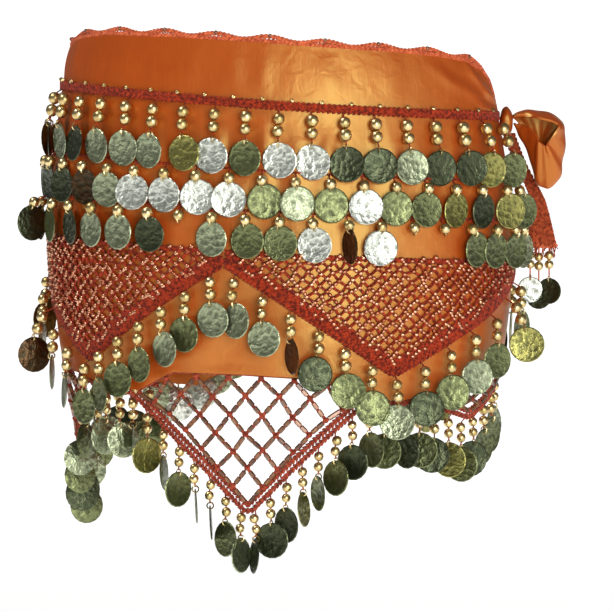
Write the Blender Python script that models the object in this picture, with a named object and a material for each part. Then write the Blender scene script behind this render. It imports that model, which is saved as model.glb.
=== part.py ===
# Belly dance hip scarf, worn on the hips and tied at one side.
# The sizes and tables are in millimetres and the meshes in metres. +Z is up and the front faces -Y.
# The origin is the centre of the hips at the height of the braid.
#
# A place on the scarf is given by its turn and its height. The turn is the share of the way round,
# measured along the cloth: 0 and 1 at the front, 0.25 at the side with the knot, 0.5 at the back.
# The cloth starts under the lap at the turn BACK_END and ends over it at the turn FRONT_END.

import math

import bmesh
import bpy
import numpy as np

MM = 0.001
WALL = 1.5                  # doubled satin
SEAM = 0.3                  # space between pieces that are sewn together
ARC_LEVEL = -60.0           # height at which the way round is measured

# The worn form: height, half width from side to side, half depth from front to back
FORM = [
    (50.0, 138.0, 99.0),
    (0.0, 148.0, 106.0),
    (-40.0, 153.5, 110.0),
    (-100.0, 157.0, 113.0),
    (-160.0, 152.5, 110.5),
    (-200.0, 145.0, 106.0),
    (-240.0, 137.5, 101.0),
    (-330.0, 130.0, 96.0),
]
WIDEST = -95.0              # height of the fullest part of the hips
TILT_AT_BRAID = 0.070       # the scarf sits lower on the side with the knot
TILT_PER_MM = 0.00015       # and hangs straighter towards the hem
DIP = 2.5                   # it dips a little at the front and back

BACK_END = 0.235
FRONT_END = 1.275
LAP_START = 1.150           # the front end rises over the back end from here
LAP_FULL = 1.232
LAP_RISE = 3.0

KNOT_TURN = 0.262
BAND_GAP = 0.006            # between the knot's middle and each end of the band, in turns
SCALLOPS = 27               # in the edging, about 31 mm each
SCALLOP_HIGH = 4.6
SCALLOP_LOW = 2.4
EDGING_OUT = 0.3
EDGING_IN = -1.8

# The band's height, which narrows into the knot from both sides: turn, height
BAND = [
    (0.268, 9.0), (0.290, 23.0), (0.320, 33.0), (0.380, 38.0), (0.500, 38.0), (0.660, 33.0),
    (0.720, 27.0), (0.760, 26.0), (0.800, 32.0), (0.840, 37.0), (0.920, 40.5), (1.000, 42.0),
    (1.120, 41.0), (1.170, 39.5), (1.205, 36.0), (1.225, 31.0), (1.243, 21.0), (1.256, 9.0),
]

# The hem: turn, height
HEM = [
    (0.235, -178.0), (0.300, -186.0), (0.375, -198.0), (0.411, -198.0), (0.446, -184.0),
    (0.500, -183.0), (0.554, -184.0), (0.589, -198.0), (0.625, -197.0), (0.680, -189.0),
    (0.750, -185.0), (0.820, -190.0), (0.855, -198.0), (0.8895, -198.0), (0.925, -184.0),
    (0.988, -183.0), (1.051, -184.0), (1.0865, -196.0), (1.125, -198.0), (1.170, -189.0),
    (1.220, -182.0), (1.275, -178.0),
]

PANEL_LEVELS = [-SEAM, -50.0, -100.0, -145.0]   # rows of the skirt panel above its hem

# Coin rows: name, place of the first drop in steps, drops, bottom of the strip,
# height of the strip, distance of the coins from the panel, kind of drop
ROW_START = 0.284
ROW_STEP = 0.02667          # 22.6 mm from coin to coin
ROWS = [
    ("coin_row_1", 0.5, 36, -3.0, 6.0, 4.8, "row_two_beads"),
    ("coin_row_2", 1.0, 36, -45.7, 2.2, 4.8, "row_one_bead"),
    ("coin_row_3", 0.5, 37, -73.1, 2.2, 5.8, "row_one_bead"),
]
ROW_STRIP_OUT = 1.6

# Beaded triangles: name, start turn, tip turn, end turn
TRIANGLES = [
    ("front_right", 0.976, 1.115, 1.258),
    ("front_left", 0.708, 0.839, 0.970),
    ("back_left", 0.499, 0.600, 0.702),
    ("back_right", 0.284, 0.388, 0.493),
]
TRIANGLE_TOP = -100.0
TRIANGLE_END = -109.0       # lower edge where two triangles meet
TRIANGLE_TIP = -177.0
TRIANGLE_WALL = 1.3
TRIANGLE_LIFT = 0.5
TRIANGLE_LEVELS = (0.0, 0.35, 0.7, 1.0)         # shares of the way from its top to its lower edge
TRIANGLE_DROPS = 13
TRIANGLE_REACH = 0.955      # share of each side of the edge that has drops
TRIANGLE_STRIP_HIGH = 3.0
TRIANGLE_STRIP_GAP = 0.6
TRIANGLE_STRIP_OUT = 1.8
TRIANGLE_HANG = 8.0         # distance of the coins from the panel
TIP_FLAT = 3.0              # half width of a blunt tip

# Hanging nets: name, centre turn, start and end turn of the fringe, meshes across,
# half width of the net in turns, height of its tip, drops on its fringe
NETS = [
    ("front", 0.988, 0.8570, 1.1185, 7, 0.0985, -271.0, 18),
    ("left", 0.750, 0.6257, 0.8555, 5, 0.070, -244.0, 14),
    ("right", 1.200, 1.1200, 1.2700, 4, 0.050, -205.0, 9),
]
NET_WALL = 1.8
NET_KNOT = 1.6              # half size of a crossing
NET_STRIP_DROP = 2.4        # from the middle of the net's edge down to its fringe strip
NET_STRIP_HIGH = 3.6
NET_STRIP_DEEP = 1.8
NET_CORNER = 2.0            # past the net's corner the strip climbs to the hem
NET_BEYOND = 8.0
NET_HANG = -3.5

# Drops: depth below the strip, width, thickness at each change of form.
# The first row is the beads and the last three are the coin.
COIN = 1.6
DROPS = {
    "row_two_beads": [
        (11.2, 8.6, 8.0), (21.5, 2.6, COIN), (29.0, 22.4, COIN), (41.0, 22.4, COIN), (47.5, 9.5, COIN)],
    "row_one_bead": [
        (5.5, 8.0, 7.6), (13.5, 22.4, COIN), (25.5, 22.4, COIN), (32.0, 9.5, COIN)],
    "edge_two_beads": [
        (10.0, 8.2, 7.6), (19.0, 2.6, COIN), (26.0, 22.0, COIN), (37.0, 22.0, COIN), (43.5, 9.5, COIN)],
    "tail_two_beads": [
        (11.5, 6.4, 6.2), (20.0, 2.2, COIN), (25.0, 16.4, COIN), (33.0, 16.4, COIN), (37.5, 7.0, COIN)],
}
ROOT_WIDTH = 3.0
STRIP_SPAN = 12.0           # a strip's straight runs stay shorter than this round the hips
ROW_SWING = 12.0            # coins stand a little askew, in degrees
TRIANGLE_SWING = 15.0
NET_SWING = 52.0
TAIL_SWING = 65.0

BLUSH_SATIN = (0.52, 0.15, 0.035)
CORAL_YARN = (0.55, 0.08, 0.02)
RED_YARN = (0.42, 0.03, 0.012)
BRASS_COIN = (0.32, 0.33, 0.14)


for old in list(bpy.data.objects):
    bpy.data.objects.remove(old, do_unlink=True)


def material(name, colour, roughness, metallic):
    made = bpy.data.materials.new(name)
    made.use_nodes = True
    shader = made.node_tree.nodes["Principled BSDF"]
    shader.inputs["Base Color"].default_value = (*colour, 1.0)
    shader.inputs["Roughness"].default_value = roughness
    shader.inputs["Metallic"].default_value = metallic
    return made


SATIN = material("satin", BLUSH_SATIN, 0.40, 0.0)
CORAL = material("coral_crochet", CORAL_YARN, 0.80, 0.0)
RED = material("beaded_crochet", RED_YARN, 0.70, 0.0)
BRASS = material("aged_brass", BRASS_COIN, 0.35, 1.0)


formTable = np.array(FORM)
widthCurve = np.polyfit(formTable[:, 0] / 100.0, formTable[:, 1], 4)
depthCurve = np.polyfit(formTable[:, 0] / 100.0, formTable[:, 2], 4)
hemTable = np.array(HEM)
bandTable = np.array(BAND)


def form_axes(height):
    """Half width and half depth of the worn form at a height, on smooth curves through the table."""
    level = np.clip(height, FORM[-1][0], FORM[0][0]) / 100.0
    return np.polyval(widthCurve, level), np.polyval(depthCurve, level)


def arc_table():
    """Angles from the front and the share of the way round at each, along the cloth."""
    across, deep = form_axes(ARC_LEVEL)
    angles = np.linspace(0.0, 2.0 * math.pi, 721)
    x = across * np.sin(angles)
    y = -deep * np.cos(angles)
    run = np.concatenate([[0.0], np.cumsum(np.hypot(np.diff(x), np.diff(y)))])
    return angles, run / run[-1], run[-1]


ARC_ANGLES, ARC_SHARES, ROUND = arc_table()


def smooth_step(value):
    share = np.clip(value, 0.0, 1.0)
    return share * share * (3.0 - 2.0 * share)


def place(turn, height, out, formHeight=None):
    """Points on the scarf: a turn and a height on the worn form, moved out from the panel's face."""
    turn, height, out = np.broadcast_arrays(
        np.asarray(turn, float), np.asarray(height, float), np.asarray(out, float))
    across, deep = form_axes(height if formHeight is None else formHeight)
    angle = np.interp(np.mod(turn, 1.0), ARC_SHARES, ARC_ANGLES)
    normalX = deep * np.sin(angle)
    normalY = -across * np.cos(angle)
    size = np.hypot(normalX, normalY)
    lift = out + LAP_RISE * smooth_step((turn - LAP_START) / (LAP_FULL - LAP_START))
    x = across * np.sin(angle) + normalX / size * lift
    y = -deep * np.cos(angle) + normalY / size * lift
    z = height - DIP * np.cos(angle) ** 2 - x * (TILT_AT_BRAID + TILT_PER_MM * height)
    return np.stack([x, y, z], axis=-1)


def directions(turn):
    """Unit vectors at a turn: along the cloth, and out from it."""
    across, deep = form_axes(ARC_LEVEL)
    angle = np.interp(np.mod(turn, 1.0), ARC_SHARES, ARC_ANGLES)
    outward = np.array([deep * math.sin(angle), -across * math.cos(angle), 0.0])
    outward = outward / np.linalg.norm(outward)
    along = np.array([-outward[1], outward[0], 0.0])
    return along, outward


def hem_height(turn):
    return np.interp(turn, hemTable[:, 0], hemTable[:, 1])


def band_top(turn):
    return np.interp(turn, bandTable[:, 0], bandTable[:, 1])


def make_piece(name, points, faces, finish):
    """One closed piece from points in millimetres."""
    mesh = bpy.data.meshes.new(name)
    mesh.from_pydata([tuple(point * MM) for point in points], [], faces)
    shell = bmesh.new()
    shell.from_mesh(mesh)
    bmesh.ops.recalc_face_normals(shell, faces=shell.faces)
    shell.to_mesh(mesh)
    shell.free()
    piece = bpy.data.objects.new(name, mesh)
    bpy.context.collection.objects.link(piece)
    mesh.materials.append(finish)
    mesh.shade_smooth()
    mesh.set_sharp_from_angle(angle=math.radians(35.0))
    return piece


def wall_faces(rows, columns):
    """Faces of a wall whose outer points come first, row by row from the top, then its inner ones."""
    inner = rows * columns
    faces = []
    for row in range(rows - 1):
        for column in range(columns - 1):
            a = row * columns + column
            b = a + columns
            faces.append((a, b, b + 1, a + 1))
            faces.append((inner + a, inner + a + 1, inner + b + 1, inner + b))
    for column in range(columns - 1):
        top = column
        low = (rows - 1) * columns + column
        faces.append((top, top + 1, inner + top + 1, inner + top))
        faces.append((inner + low, inner + low + 1, low + 1, low))
    for row in range(rows - 1):
        left = row * columns
        right = left + columns - 1
        faces.append((left, inner + left, inner + left + columns, left + columns))
        faces.append((right, right + columns, inner + right + columns, inner + right))
    return faces


def make_wall(name, turns, heights, outer, inner, finish):
    """A cloth wall: heights is one row of heights for each level, from the top."""
    grid = np.array(heights)
    across = np.broadcast_to(turns, grid.shape)
    points = np.concatenate([
        place(across, grid, outer).reshape(-1, 3),
        place(across, grid, inner).reshape(-1, 3)])
    return make_piece(name, points, wall_faces(*grid.shape), finish)


def band_turns():
    """Two columns for each scallop of the edging, shared with the band below it."""
    return np.linspace(KNOT_TURN + BAND_GAP, 1.0 + KNOT_TURN - BAND_GAP, 2 * SCALLOPS + 1)


def make_waistband():
    turns = band_turns()
    top = band_top(turns)
    make_wall("waistband", turns, [top, 0.5 * (top + SEAM), 0.0 * top + SEAM], 0.0, -WALL, SATIN)


def make_top_edging():
    """A crocheted chain in shallow scallops on the band's top edge."""
    turns = band_turns()
    base = band_top(turns) + SEAM
    rise = np.where(np.arange(turns.size) % 2 == 0, SCALLOP_HIGH, SCALLOP_LOW)
    make_wall("top_edging", turns, [base + rise, base], EDGING_OUT, EDGING_IN, CORAL)


def make_skirt_panel():
    turns = np.unique(np.concatenate([np.linspace(BACK_END, FRONT_END, 41), hemTable[:, 0]]))
    heights = [0.0 * turns + level for level in PANEL_LEVELS] + [hem_height(turns)]
    make_wall("skirt_panel", turns, heights, 0.0, -WALL, SATIN)


def add_drop(points, faces, root, centres, along, outward, sections, swing):
    """A four-sided drop grown from the four root points, one ring for each section."""
    swung = math.radians(swing)
    wide = along * math.cos(swung) + outward * math.sin(swung)
    deep = outward * math.cos(swung) - along * math.sin(swung)
    ring = root
    for centre, (_, width, thick) in zip(centres, sections):
        first = len(points)
        for acrossSide, depthSide in ((-1, -1), (1, -1), (1, 1), (-1, 1)):
            points.append(centre + wide * acrossSide * width / 2 + deep * depthSide * thick / 2)
        fresh = [first, first + 1, first + 2, first + 3]
        for corner in range(4):
            after = (corner + 1) % 4
            faces.append((ring[corner], fresh[corner], fresh[after], ring[after]))
        ring = fresh
    faces.append(tuple(reversed(ring)))


def strip_faces(faces, column, rooted):
    """The faces of a three-sided strip between one column of three points and the next."""
    top, outer, inner = column, column + 1, column + 2
    nextTop, nextOuter, nextInner = top + 3, outer + 3, inner + 3
    faces.append((top, outer, nextOuter, nextTop))
    faces.append((inner, top, nextTop, nextInner))
    if not rooted:
        faces.append((outer, inner, nextInner, nextOuter))


def make_fringe(name, path, stations, high, outInner, outOuter, hang, kind, swing, finish):
    """Drops on a narrow strip. The path is turns and heights of the strip's lower edge."""
    sections = DROPS[kind]
    half = ROOT_WIDTH / 2.0 / ROUND
    path = np.array(path)
    roots = np.array([(station - half, station + half) for station in stations])
    corners = [turn for turn in path[:, 0] if not np.any((turn > roots[:, 0]) & (turn < roots[:, 1]))]
    turns = np.unique(np.concatenate([roots.ravel(), corners]))
    wide = np.nonzero(np.diff(turns) * ROUND > STRIP_SPAN)[0]
    turns = np.unique(np.concatenate([turns, (turns[wide] + turns[wide + 1]) / 2.0]))
    low = np.interp(turns, path[:, 0], path[:, 1])
    columns = np.stack([
        place(turns, low + high, outInner),
        place(turns, low, outOuter),
        place(turns, low, outInner)], axis=1)
    points = list(columns.reshape(-1, 3))
    faces = [(0, 2, 1), (len(points) - 3, len(points) - 2, len(points) - 1)]
    rootStarts = {int(np.searchsorted(turns, start + 1e-9)) - 1: index
                  for index, start in enumerate(roots[:, 0])}
    for column in range(turns.size - 1):
        strip_faces(faces, 3 * column, column in rootStarts)
    for column, index in rootStarts.items():
        outer, inner = 3 * column + 1, 3 * column + 2
        station = stations[index]
        rootHeight = float(np.interp(station, path[:, 0], path[:, 1]))
        heights = rootHeight - np.array([section[0] for section in sections])
        fullest = np.maximum(heights, min(rootHeight, WIDEST))
        centres = place(station, heights, hang, fullest)
        along, outward = directions(station)
        add_drop(points, faces, [inner, inner + 3, outer + 3, outer],
                 centres, along, outward, sections, swing)
    return make_piece(name, points, faces, finish)


def make_coin_rows():
    """The drops of each row hang between those of the row above."""
    for name, first, drops, bottom, high, hang, kind in ROWS:
        stations = ROW_START + ROW_STEP * (first + np.arange(drops))
        end = stations[-1] + ROW_STEP / 2.0
        make_fringe(name, [(ROW_START, bottom), (end, bottom)], stations, high, SEAM, ROW_STRIP_OUT,
                    hang, kind, ROW_SWING, BRASS)


def triangle_edge(start, tip, end):
    """The lower edge of a beaded triangle, with a blunt tip."""
    flat = TIP_FLAT / ROUND
    return [(start, TRIANGLE_END), (tip - flat, TRIANGLE_TIP),
            (tip + flat, TRIANGLE_TIP), (end, TRIANGLE_END)]


def make_triangles():
    for name, start, tip, end in TRIANGLES:
        edge = np.array(triangle_edge(start, tip, end))
        turns = np.unique(np.concatenate([
            np.linspace(start, tip, 9), np.linspace(tip, end, 9), edge[:, 0]]))
        low = np.interp(turns, edge[:, 0], edge[:, 1])
        heights = [TRIANGLE_TOP + (low - TRIANGLE_TOP) * share for share in TRIANGLE_LEVELS]
        make_wall("beaded_triangle_" + name, turns, heights,
                  TRIANGLE_LIFT + TRIANGLE_WALL, TRIANGLE_LIFT, RED)
        path = edge - np.array([0.0, TRIANGLE_STRIP_HIGH + TRIANGLE_STRIP_GAP])
        shares = np.linspace(-TRIANGLE_REACH, TRIANGLE_REACH, TRIANGLE_DROPS)
        stations = np.where(shares < 0.0, tip + shares * (tip - start), tip + shares * (end - tip))
        make_fringe("triangle_fringe_" + name, path, stations, TRIANGLE_STRIP_HIGH, SEAM,
                    TRIANGLE_STRIP_OUT, TRIANGLE_HANG, "edge_two_beads", TRIANGLE_SWING, BRASS)


def make_net(name, centre, meshes, spread, tip):
    """A diamond net: crossings in rows that widen from the tip up to the hem, joined by strands.

    The crossing (p, q) is p strands up to one side and q up to the other. Each crossing is a small
    diamond of four corners, and each strand joins the facing sides of two diamonds.
    """
    corners = {}
    flat = []
    for p in range(meshes + 1):
        for q in range(meshes + 1 - p):
            side = (p - q) * spread * ROUND / meshes
            turn = centre + side / ROUND
            top = hem_height(turn) - SEAM - NET_KNOT
            height = tip + (top - tip) * (p + q) / meshes
            first = len(flat)
            flat += [(side - NET_KNOT, height), (side, height - NET_KNOT),
                     (side + NET_KNOT, height), (side, height + NET_KNOT)]
            corners[p, q] = (first, first + 1, first + 2, first + 3)
    outline = []
    for (p, q), (left, low, right, high) in corners.items():
        outline.append((left, low, right, high))
        if (p + 1, q) in corners:
            upLeft, upLow, _, _ = corners[p + 1, q]
            outline.append((high, right, upLow, upLeft))
        if (p, q + 1) in corners:
            _, upLow, upRight, _ = corners[p, q + 1]
            outline.append((left, high, upRight, upLow))
        if p + q == meshes and q > 0:
            nextLeft, _, _, nextHigh = corners[p + 1, q - 1]
            outline.append((high, right, nextLeft, nextHigh))
    plan = np.array(flat)
    turns = centre + plan[:, 0] / ROUND
    points = np.concatenate([place(turns, plan[:, 1], 0.0), place(turns, plan[:, 1], -NET_WALL)])
    count = len(flat)
    faces = [face for face in outline] + [tuple(reversed([corner + count for corner in face]))
                                          for face in outline]
    sides = {(face[i], face[(i + 1) % 4]) for face in outline for i in range(4)}
    for a, b in sorted(sides):
        if (b, a) not in sides:
            faces.append((b, a, a + count, b + count))
    return make_piece("net_" + name, points, faces, RED)


def net_edge(centre, start, end, spread, tip):
    """The top of the fringe strip: under the net's edge, and under the hem beyond the net."""
    flat = TIP_FLAT / ROUND
    beyond = NET_BEYOND / ROUND
    edge = [(centre - flat, tip - NET_STRIP_DROP), (centre + flat, tip - NET_STRIP_DROP)]
    for sign in (-1.0, 1.0):
        corner = centre + sign * (spread + NET_CORNER / ROUND)
        edge.append((corner, hem_height(corner) - SEAM - NET_KNOT - NET_STRIP_DROP))
        outer = centre + sign * (spread + beyond)
        edge.append((outer, hem_height(outer) - SEAM))
    for turn in (start, end):
        edge.append((turn, hem_height(turn) - SEAM))
    for turn, height in HEM:
        if start < turn < end and abs(turn - centre) > spread + beyond:
            edge.append((turn, height - SEAM))
    return sorted(edge)


def make_nets():
    for name, centre, start, end, meshes, spread, tip, drops in NETS:
        make_net(name, centre, meshes, spread, tip)
        edge = np.array(net_edge(centre, start, end, spread, tip))
        path = edge - np.array([0.0, NET_STRIP_HIGH])
        stations = start + (end - start) / drops * (np.arange(drops) + 0.5)
        make_fringe("net_fringe_" + name, path, stations, NET_STRIP_HIGH, -NET_STRIP_DEEP, 0.0,
                    NET_HANG, "edge_two_beads", NET_SWING, BRASS)


# The knot's own frame: along the cloth towards the back, out from the cloth, and up
knotAlong, knotOutward = directions(KNOT_TURN)
knotUp = np.array([0.0, 0.0, 1.0])
knotSeat = place(1.0 + KNOT_TURN, 0.0, 0.0)

# The knot is a flattened ball
KNOT_LONG = 25.0
KNOT_DEEP = 9.4
KNOT_HIGH = 21.0
KNOT_OUT = 5.5              # its middle, out from the cloth and up
KNOT_UP = -4.0
KNOT_BLUNT = 0.6            # 1 is a true ball, less has blunter ends
KNOT_RINGS = 5
KNOT_SIDES = 12

# The loop from the knot round to the knot, a pouch of cloth whose mouth faces the front. For each
# place round it: distance out and height of its fullest part, then distance out, height and place
# along the cloth of its mouth's edge
LOOP = [
    (9.85, -1.0, 13.0, -1.5, -4.0), (18.0, 4.0, 22.0, -0.5, -10.0), (30.0, 3.5, 31.0, -1.0, -13.0),
    (41.0, -1.5, 38.0, -4.0, -13.0), (45.0, -13.0, 37.5, -9.5, -14.0), (45.0, -28.0, 34.5, -17.0, -16.0),
    (41.0, -40.0, 32.5, -20.5, -17.0), (33.5, -47.5, 30.5, -20.5, -17.0),
    (27.0, -44.0, 27.5, -17.5, -17.0), (22.5, -32.0, 24.0, -13.0, -16.0),
    (18.0, -18.0, 20.0, -9.0, -12.0), (11.0, -9.5, 14.5, -7.0, -5.0),
]
LOOP_MIDDLE = (29.0, -21.0)     # its gathered back, out and up
# Behind the mouth: share of the way from the middle to the fullest part, and place along the cloth
LOOP_DEPTHS = [(0.18, 9.0), (0.96, 4.0), (1.0, -5.0)]

# The tail: height, distance out of its middle, place along the cloth, width
TAIL = [
    (-14.1, 8.0, 6.0, 6.0), (-32.0, 15.0, 14.0, 6.0), (-50.0, 24.0, 15.0, 6.5),
    (-60.0, 27.5, 15.0, 9.0), (-74.0, 29.0, 14.5, 14.0), (-87.0, 29.5, 14.0, 19.0),
]
TAIL_WALL = 2.5
TAIL_STRIP_HIGH = 3.0
TAIL_SPOTS = [-7.5, -1.5, 5.5]


def knot_point(along, out, up):
    return knotSeat + knotAlong * along + knotOutward * out + knotUp * up


def make_knot():
    """A rounded lump where the two ends cross: rings of points on a flattened ball."""
    rings, sides = KNOT_RINGS, KNOT_SIDES
    points = [knot_point(-KNOT_LONG / 2.0, KNOT_OUT, KNOT_UP)]
    for ring in range(1, rings + 1):
        angle = math.pi * ring / (rings + 1)
        along = -KNOT_LONG / 2.0 * math.cos(angle)
        size = math.sin(angle) ** KNOT_BLUNT
        for side in range(sides):
            around = 2.0 * math.pi * side / sides
            points.append(knot_point(along, KNOT_OUT + KNOT_DEEP / 2.0 * size * math.cos(around),
                                     KNOT_UP + KNOT_HIGH / 2.0 * size * math.sin(around)))
    points.append(knot_point(KNOT_LONG / 2.0, KNOT_OUT, KNOT_UP))
    last = len(points) - 1
    faces = []
    for side in range(sides):
        after = (side + 1) % sides
        faces.append((0, 1 + side, 1 + after))
        base = 1 + (rings - 1) * sides
        faces.append((last, base + after, base + side))
        for ring in range(rings - 1):
            a = 1 + ring * sides
            faces.append((a + side, a + sides + side, a + sides + after, a + after))
    return make_piece("knot", points, faces, SATIN)


def sweep_flat(name, middles, wides, thicks, finish):
    """A flat ribbon: at each middle a cross-section spanned by a wide and a thick vector."""
    points = []
    for middle, wide, thick in zip(middles, wides, thicks):
        points += [middle - wide - thick, middle + wide - thick,
                   middle + wide + thick, middle - wide + thick]
    faces = [(0, 1, 2, 3)]
    for section in range(len(middles) - 1):
        for corner in range(4):
            after = (corner + 1) % 4
            a = 4 * section
            faces.append((a + corner, a + 4 + corner, a + 4 + after, a + after))
    end = len(points) - 4
    faces.append((end + 3, end + 2, end + 1, end))
    return make_piece(name, points, faces, finish)


def make_loop():
    """A loop of the band's end: gathered at the back, and drawn in round its mouth at the front."""
    middleOut, middleUp = LOOP_MIDDLE
    grid = np.array([
        [knot_point(along, middleOut + (out - middleOut) * share, middleUp + (up - middleUp) * share)
         for share, along in LOOP_DEPTHS] + [knot_point(mouthAlong, mouthOut, mouthUp)]
        for out, up, mouthOut, mouthUp, mouthAlong in LOOP])
    normal = np.cross(np.gradient(grid, axis=1), np.gradient(grid, axis=0))
    normal = normal / np.linalg.norm(normal, axis=2)[:, :, None]
    points = np.concatenate([grid.reshape(-1, 3), (grid - normal * WALL).reshape(-1, 3)])
    make_piece("knot_loop", points, wall_faces(*grid.shape[:2]), SATIN)


def make_tail():
    middles = [knot_point(along, out, up) for up, out, along, _ in TAIL]
    wides = [knotOutward * width / 2.0 for _, _, _, width in TAIL]
    thicks = [knotAlong * TAIL_WALL / 2.0 for _ in TAIL]
    sweep_flat("tie_tail", middles, wides, thicks, CORAL)


def make_tail_fringe():
    """Three drops on a strip across the tail's end."""
    sections = DROPS["tail_two_beads"]
    endUp, endOut, endAlong, endWidth = TAIL[-1]
    top = endUp - SEAM
    low = top - TAIL_STRIP_HIGH
    spots = np.array(TAIL_SPOTS)
    edges = np.unique(np.concatenate([
        [-endWidth / 2.0, endWidth / 2.0], spots - ROOT_WIDTH / 2.0, spots + ROOT_WIDTH / 2.0]))
    points = []
    for edge in edges:
        points.append(knot_point(endAlong, endOut + edge, top))
        points.append(knot_point(endAlong - TAIL_WALL / 2.0, endOut + edge, low))
        points.append(knot_point(endAlong + TAIL_WALL / 2.0, endOut + edge, low))
    faces = [(0, 2, 1), (len(points) - 3, len(points) - 2, len(points) - 1)]
    for column in range(edges.size - 1):
        rooted = column % 2 == 1
        strip_faces(faces, 3 * column, rooted)
        if rooted:
            middle = endOut + (edges[column] + edges[column + 1]) / 2.0
            centres = [knot_point(endAlong, middle, low - section[0]) for section in sections]
            outer, inner = 3 * column + 1, 3 * column + 2
            add_drop(points, faces, [inner, inner + 3, outer + 3, outer], centres,
                     knotOutward, -knotAlong, sections, TAIL_SWING)
    make_piece("tail_fringe", points, faces, BRASS)


make_waistband()
make_top_edging()
make_skirt_panel()
make_coin_rows()
make_triangles()
make_nets()
make_knot()
make_loop()
make_tail()
make_tail_fringe()
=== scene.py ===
# Belly dance hip scarf: satin, crochet, beads and coins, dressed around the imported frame.
# Tables are in millimetres and meshes in metres. +Z is up and the front faces -Y.
# A place on the scarf is a turn and a height. The turn is the share of the way round, measured
# along the cloth: 0 and 1 at the front, 0.25 at the side with the knot, 0.5 at the back.

import math

import bpy
import numpy as np
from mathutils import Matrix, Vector


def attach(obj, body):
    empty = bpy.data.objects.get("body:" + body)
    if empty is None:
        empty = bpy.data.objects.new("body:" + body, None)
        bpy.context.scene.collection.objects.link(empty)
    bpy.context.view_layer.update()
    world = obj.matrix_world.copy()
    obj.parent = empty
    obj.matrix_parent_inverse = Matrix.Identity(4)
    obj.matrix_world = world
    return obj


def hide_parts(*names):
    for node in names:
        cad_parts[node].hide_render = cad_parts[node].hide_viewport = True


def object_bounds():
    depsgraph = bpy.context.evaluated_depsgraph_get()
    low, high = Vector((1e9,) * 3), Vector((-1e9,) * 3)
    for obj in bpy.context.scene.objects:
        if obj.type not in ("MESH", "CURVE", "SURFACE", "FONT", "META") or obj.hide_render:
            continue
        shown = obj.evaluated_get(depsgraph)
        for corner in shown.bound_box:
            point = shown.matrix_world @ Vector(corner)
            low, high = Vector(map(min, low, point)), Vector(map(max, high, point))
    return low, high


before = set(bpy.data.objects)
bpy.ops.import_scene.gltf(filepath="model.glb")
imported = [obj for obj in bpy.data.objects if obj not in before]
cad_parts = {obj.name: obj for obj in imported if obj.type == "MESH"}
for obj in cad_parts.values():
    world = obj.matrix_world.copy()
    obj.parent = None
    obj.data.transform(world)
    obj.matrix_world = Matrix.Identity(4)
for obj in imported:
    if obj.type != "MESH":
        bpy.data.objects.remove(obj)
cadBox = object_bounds()
chance = np.random.default_rng(11)
mm = 0.001
print("frame loaded:", len(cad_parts), "nodes")

# The form that the scarf is worn on: an oval whose size changes with the height
form = {
    "table": [      # height, half width, half depth
        (50.0, 138.0, 99.0), (0.0, 148.0, 106.0), (-40.0, 153.5, 110.0), (-100.0, 157.0, 113.0),
        (-160.0, 152.5, 110.5), (-200.0, 145.0, 106.0), (-240.0, 137.5, 101.0), (-330.0, 130.0, 96.0)],
    "arcLevel": -60.0,          # height at which turns are measured along the cloth
    "widest": -95.0,            # below this level the drops hang straight down
    "tiltAtBraid": 0.070,
    "tiltPerMm": 0.00015,
    "dip": 2.5,                 # how much lower front and back are than the sides
    "lapStart": 1.150,
    "lapFull": 1.232,
    "lapRise": 3.0,             # how far the front end lies over the back end
    "seam": 0.3,
    "wall": 1.5,
}
formTable = np.array(form["table"])
widthCurve = np.polyfit(formTable[:, 0] / 100.0, formTable[:, 1], 4)
depthCurve = np.polyfit(formTable[:, 0] / 100.0, formTable[:, 2], 4)


# Half width and half depth at a height, on smooth curves through the table
def formAxes(height):
    level = np.clip(height, formTable[-1, 0], formTable[0, 0]) / 100.0
    return np.polyval(widthCurve, level), np.polyval(depthCurve, level)


arcAngles = np.linspace(0.0, 2.0 * math.pi, 721)
arcWide, arcDeep = formAxes(form["arcLevel"])
arcRun = np.hypot(np.diff(arcWide * np.sin(arcAngles)), np.diff(arcDeep * np.cos(arcAngles)))
arcRun = np.concatenate([[0.0], np.cumsum(arcRun)])
arcShares = arcRun / arcRun[-1]
aroundLength = arcRun[-1]


# 3s^2 - 2s^3 of a share held between 0 and 1
def smoothStep(value):
    share = np.clip(value, 0.0, 1.0)
    return share * share * (3.0 - 2.0 * share)


# A point on the form's ellipse at that turn and height, moved out along the ellipse's normal
def spot(turn, height, out, formHeight=None):
    turn, height, out = np.broadcast_arrays(
        np.asarray(turn, float), np.asarray(height, float), np.asarray(out, float))
    across, deep = formAxes(height if formHeight is None else formHeight)
    angle = np.interp(np.mod(turn, 1.0), arcShares, arcAngles)
    normalX = deep * np.sin(angle)
    normalY = -across * np.cos(angle)
    size = np.hypot(normalX, normalY)
    lapShare = (turn - form["lapStart"]) / (form["lapFull"] - form["lapStart"])
    lift = out + form["lapRise"] * smoothStep(lapShare)
    x = across * np.sin(angle) + normalX / size * lift
    y = -deep * np.cos(angle) + normalY / size * lift
    tilt = form["tiltAtBraid"] + form["tiltPerMm"] * height
    return np.stack([x, y, height - form["dip"] * np.cos(angle) ** 2 - x * tilt], axis=-1)


# Level unit vectors at each turn: along the cloth, and out from it
def directions(turn):
    angle = np.interp(np.mod(turn, 1.0), arcShares, arcAngles)
    outward = np.stack([arcDeep * np.sin(angle), -arcWide * np.cos(angle), 0.0 * angle], axis=-1)
    outward = outward / np.linalg.norm(outward, axis=-1, keepdims=True)
    along = np.stack([-outward[..., 1], outward[..., 0], 0.0 * angle], axis=-1)
    return along, outward


# sRGB to linear: ((s + 0.055) / 1.055) ^ 2.4, or s / 12.92 for the darkest
def linear(code):
    shares = np.array([int(code[i:i + 2], 16) for i in (1, 3, 5)]) / 255.0
    light = np.where(shares > 0.04045, ((shares + 0.055) / 1.055) ** 2.4, shares / 12.92)
    return (*[float(value) for value in light], 1.0)


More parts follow.
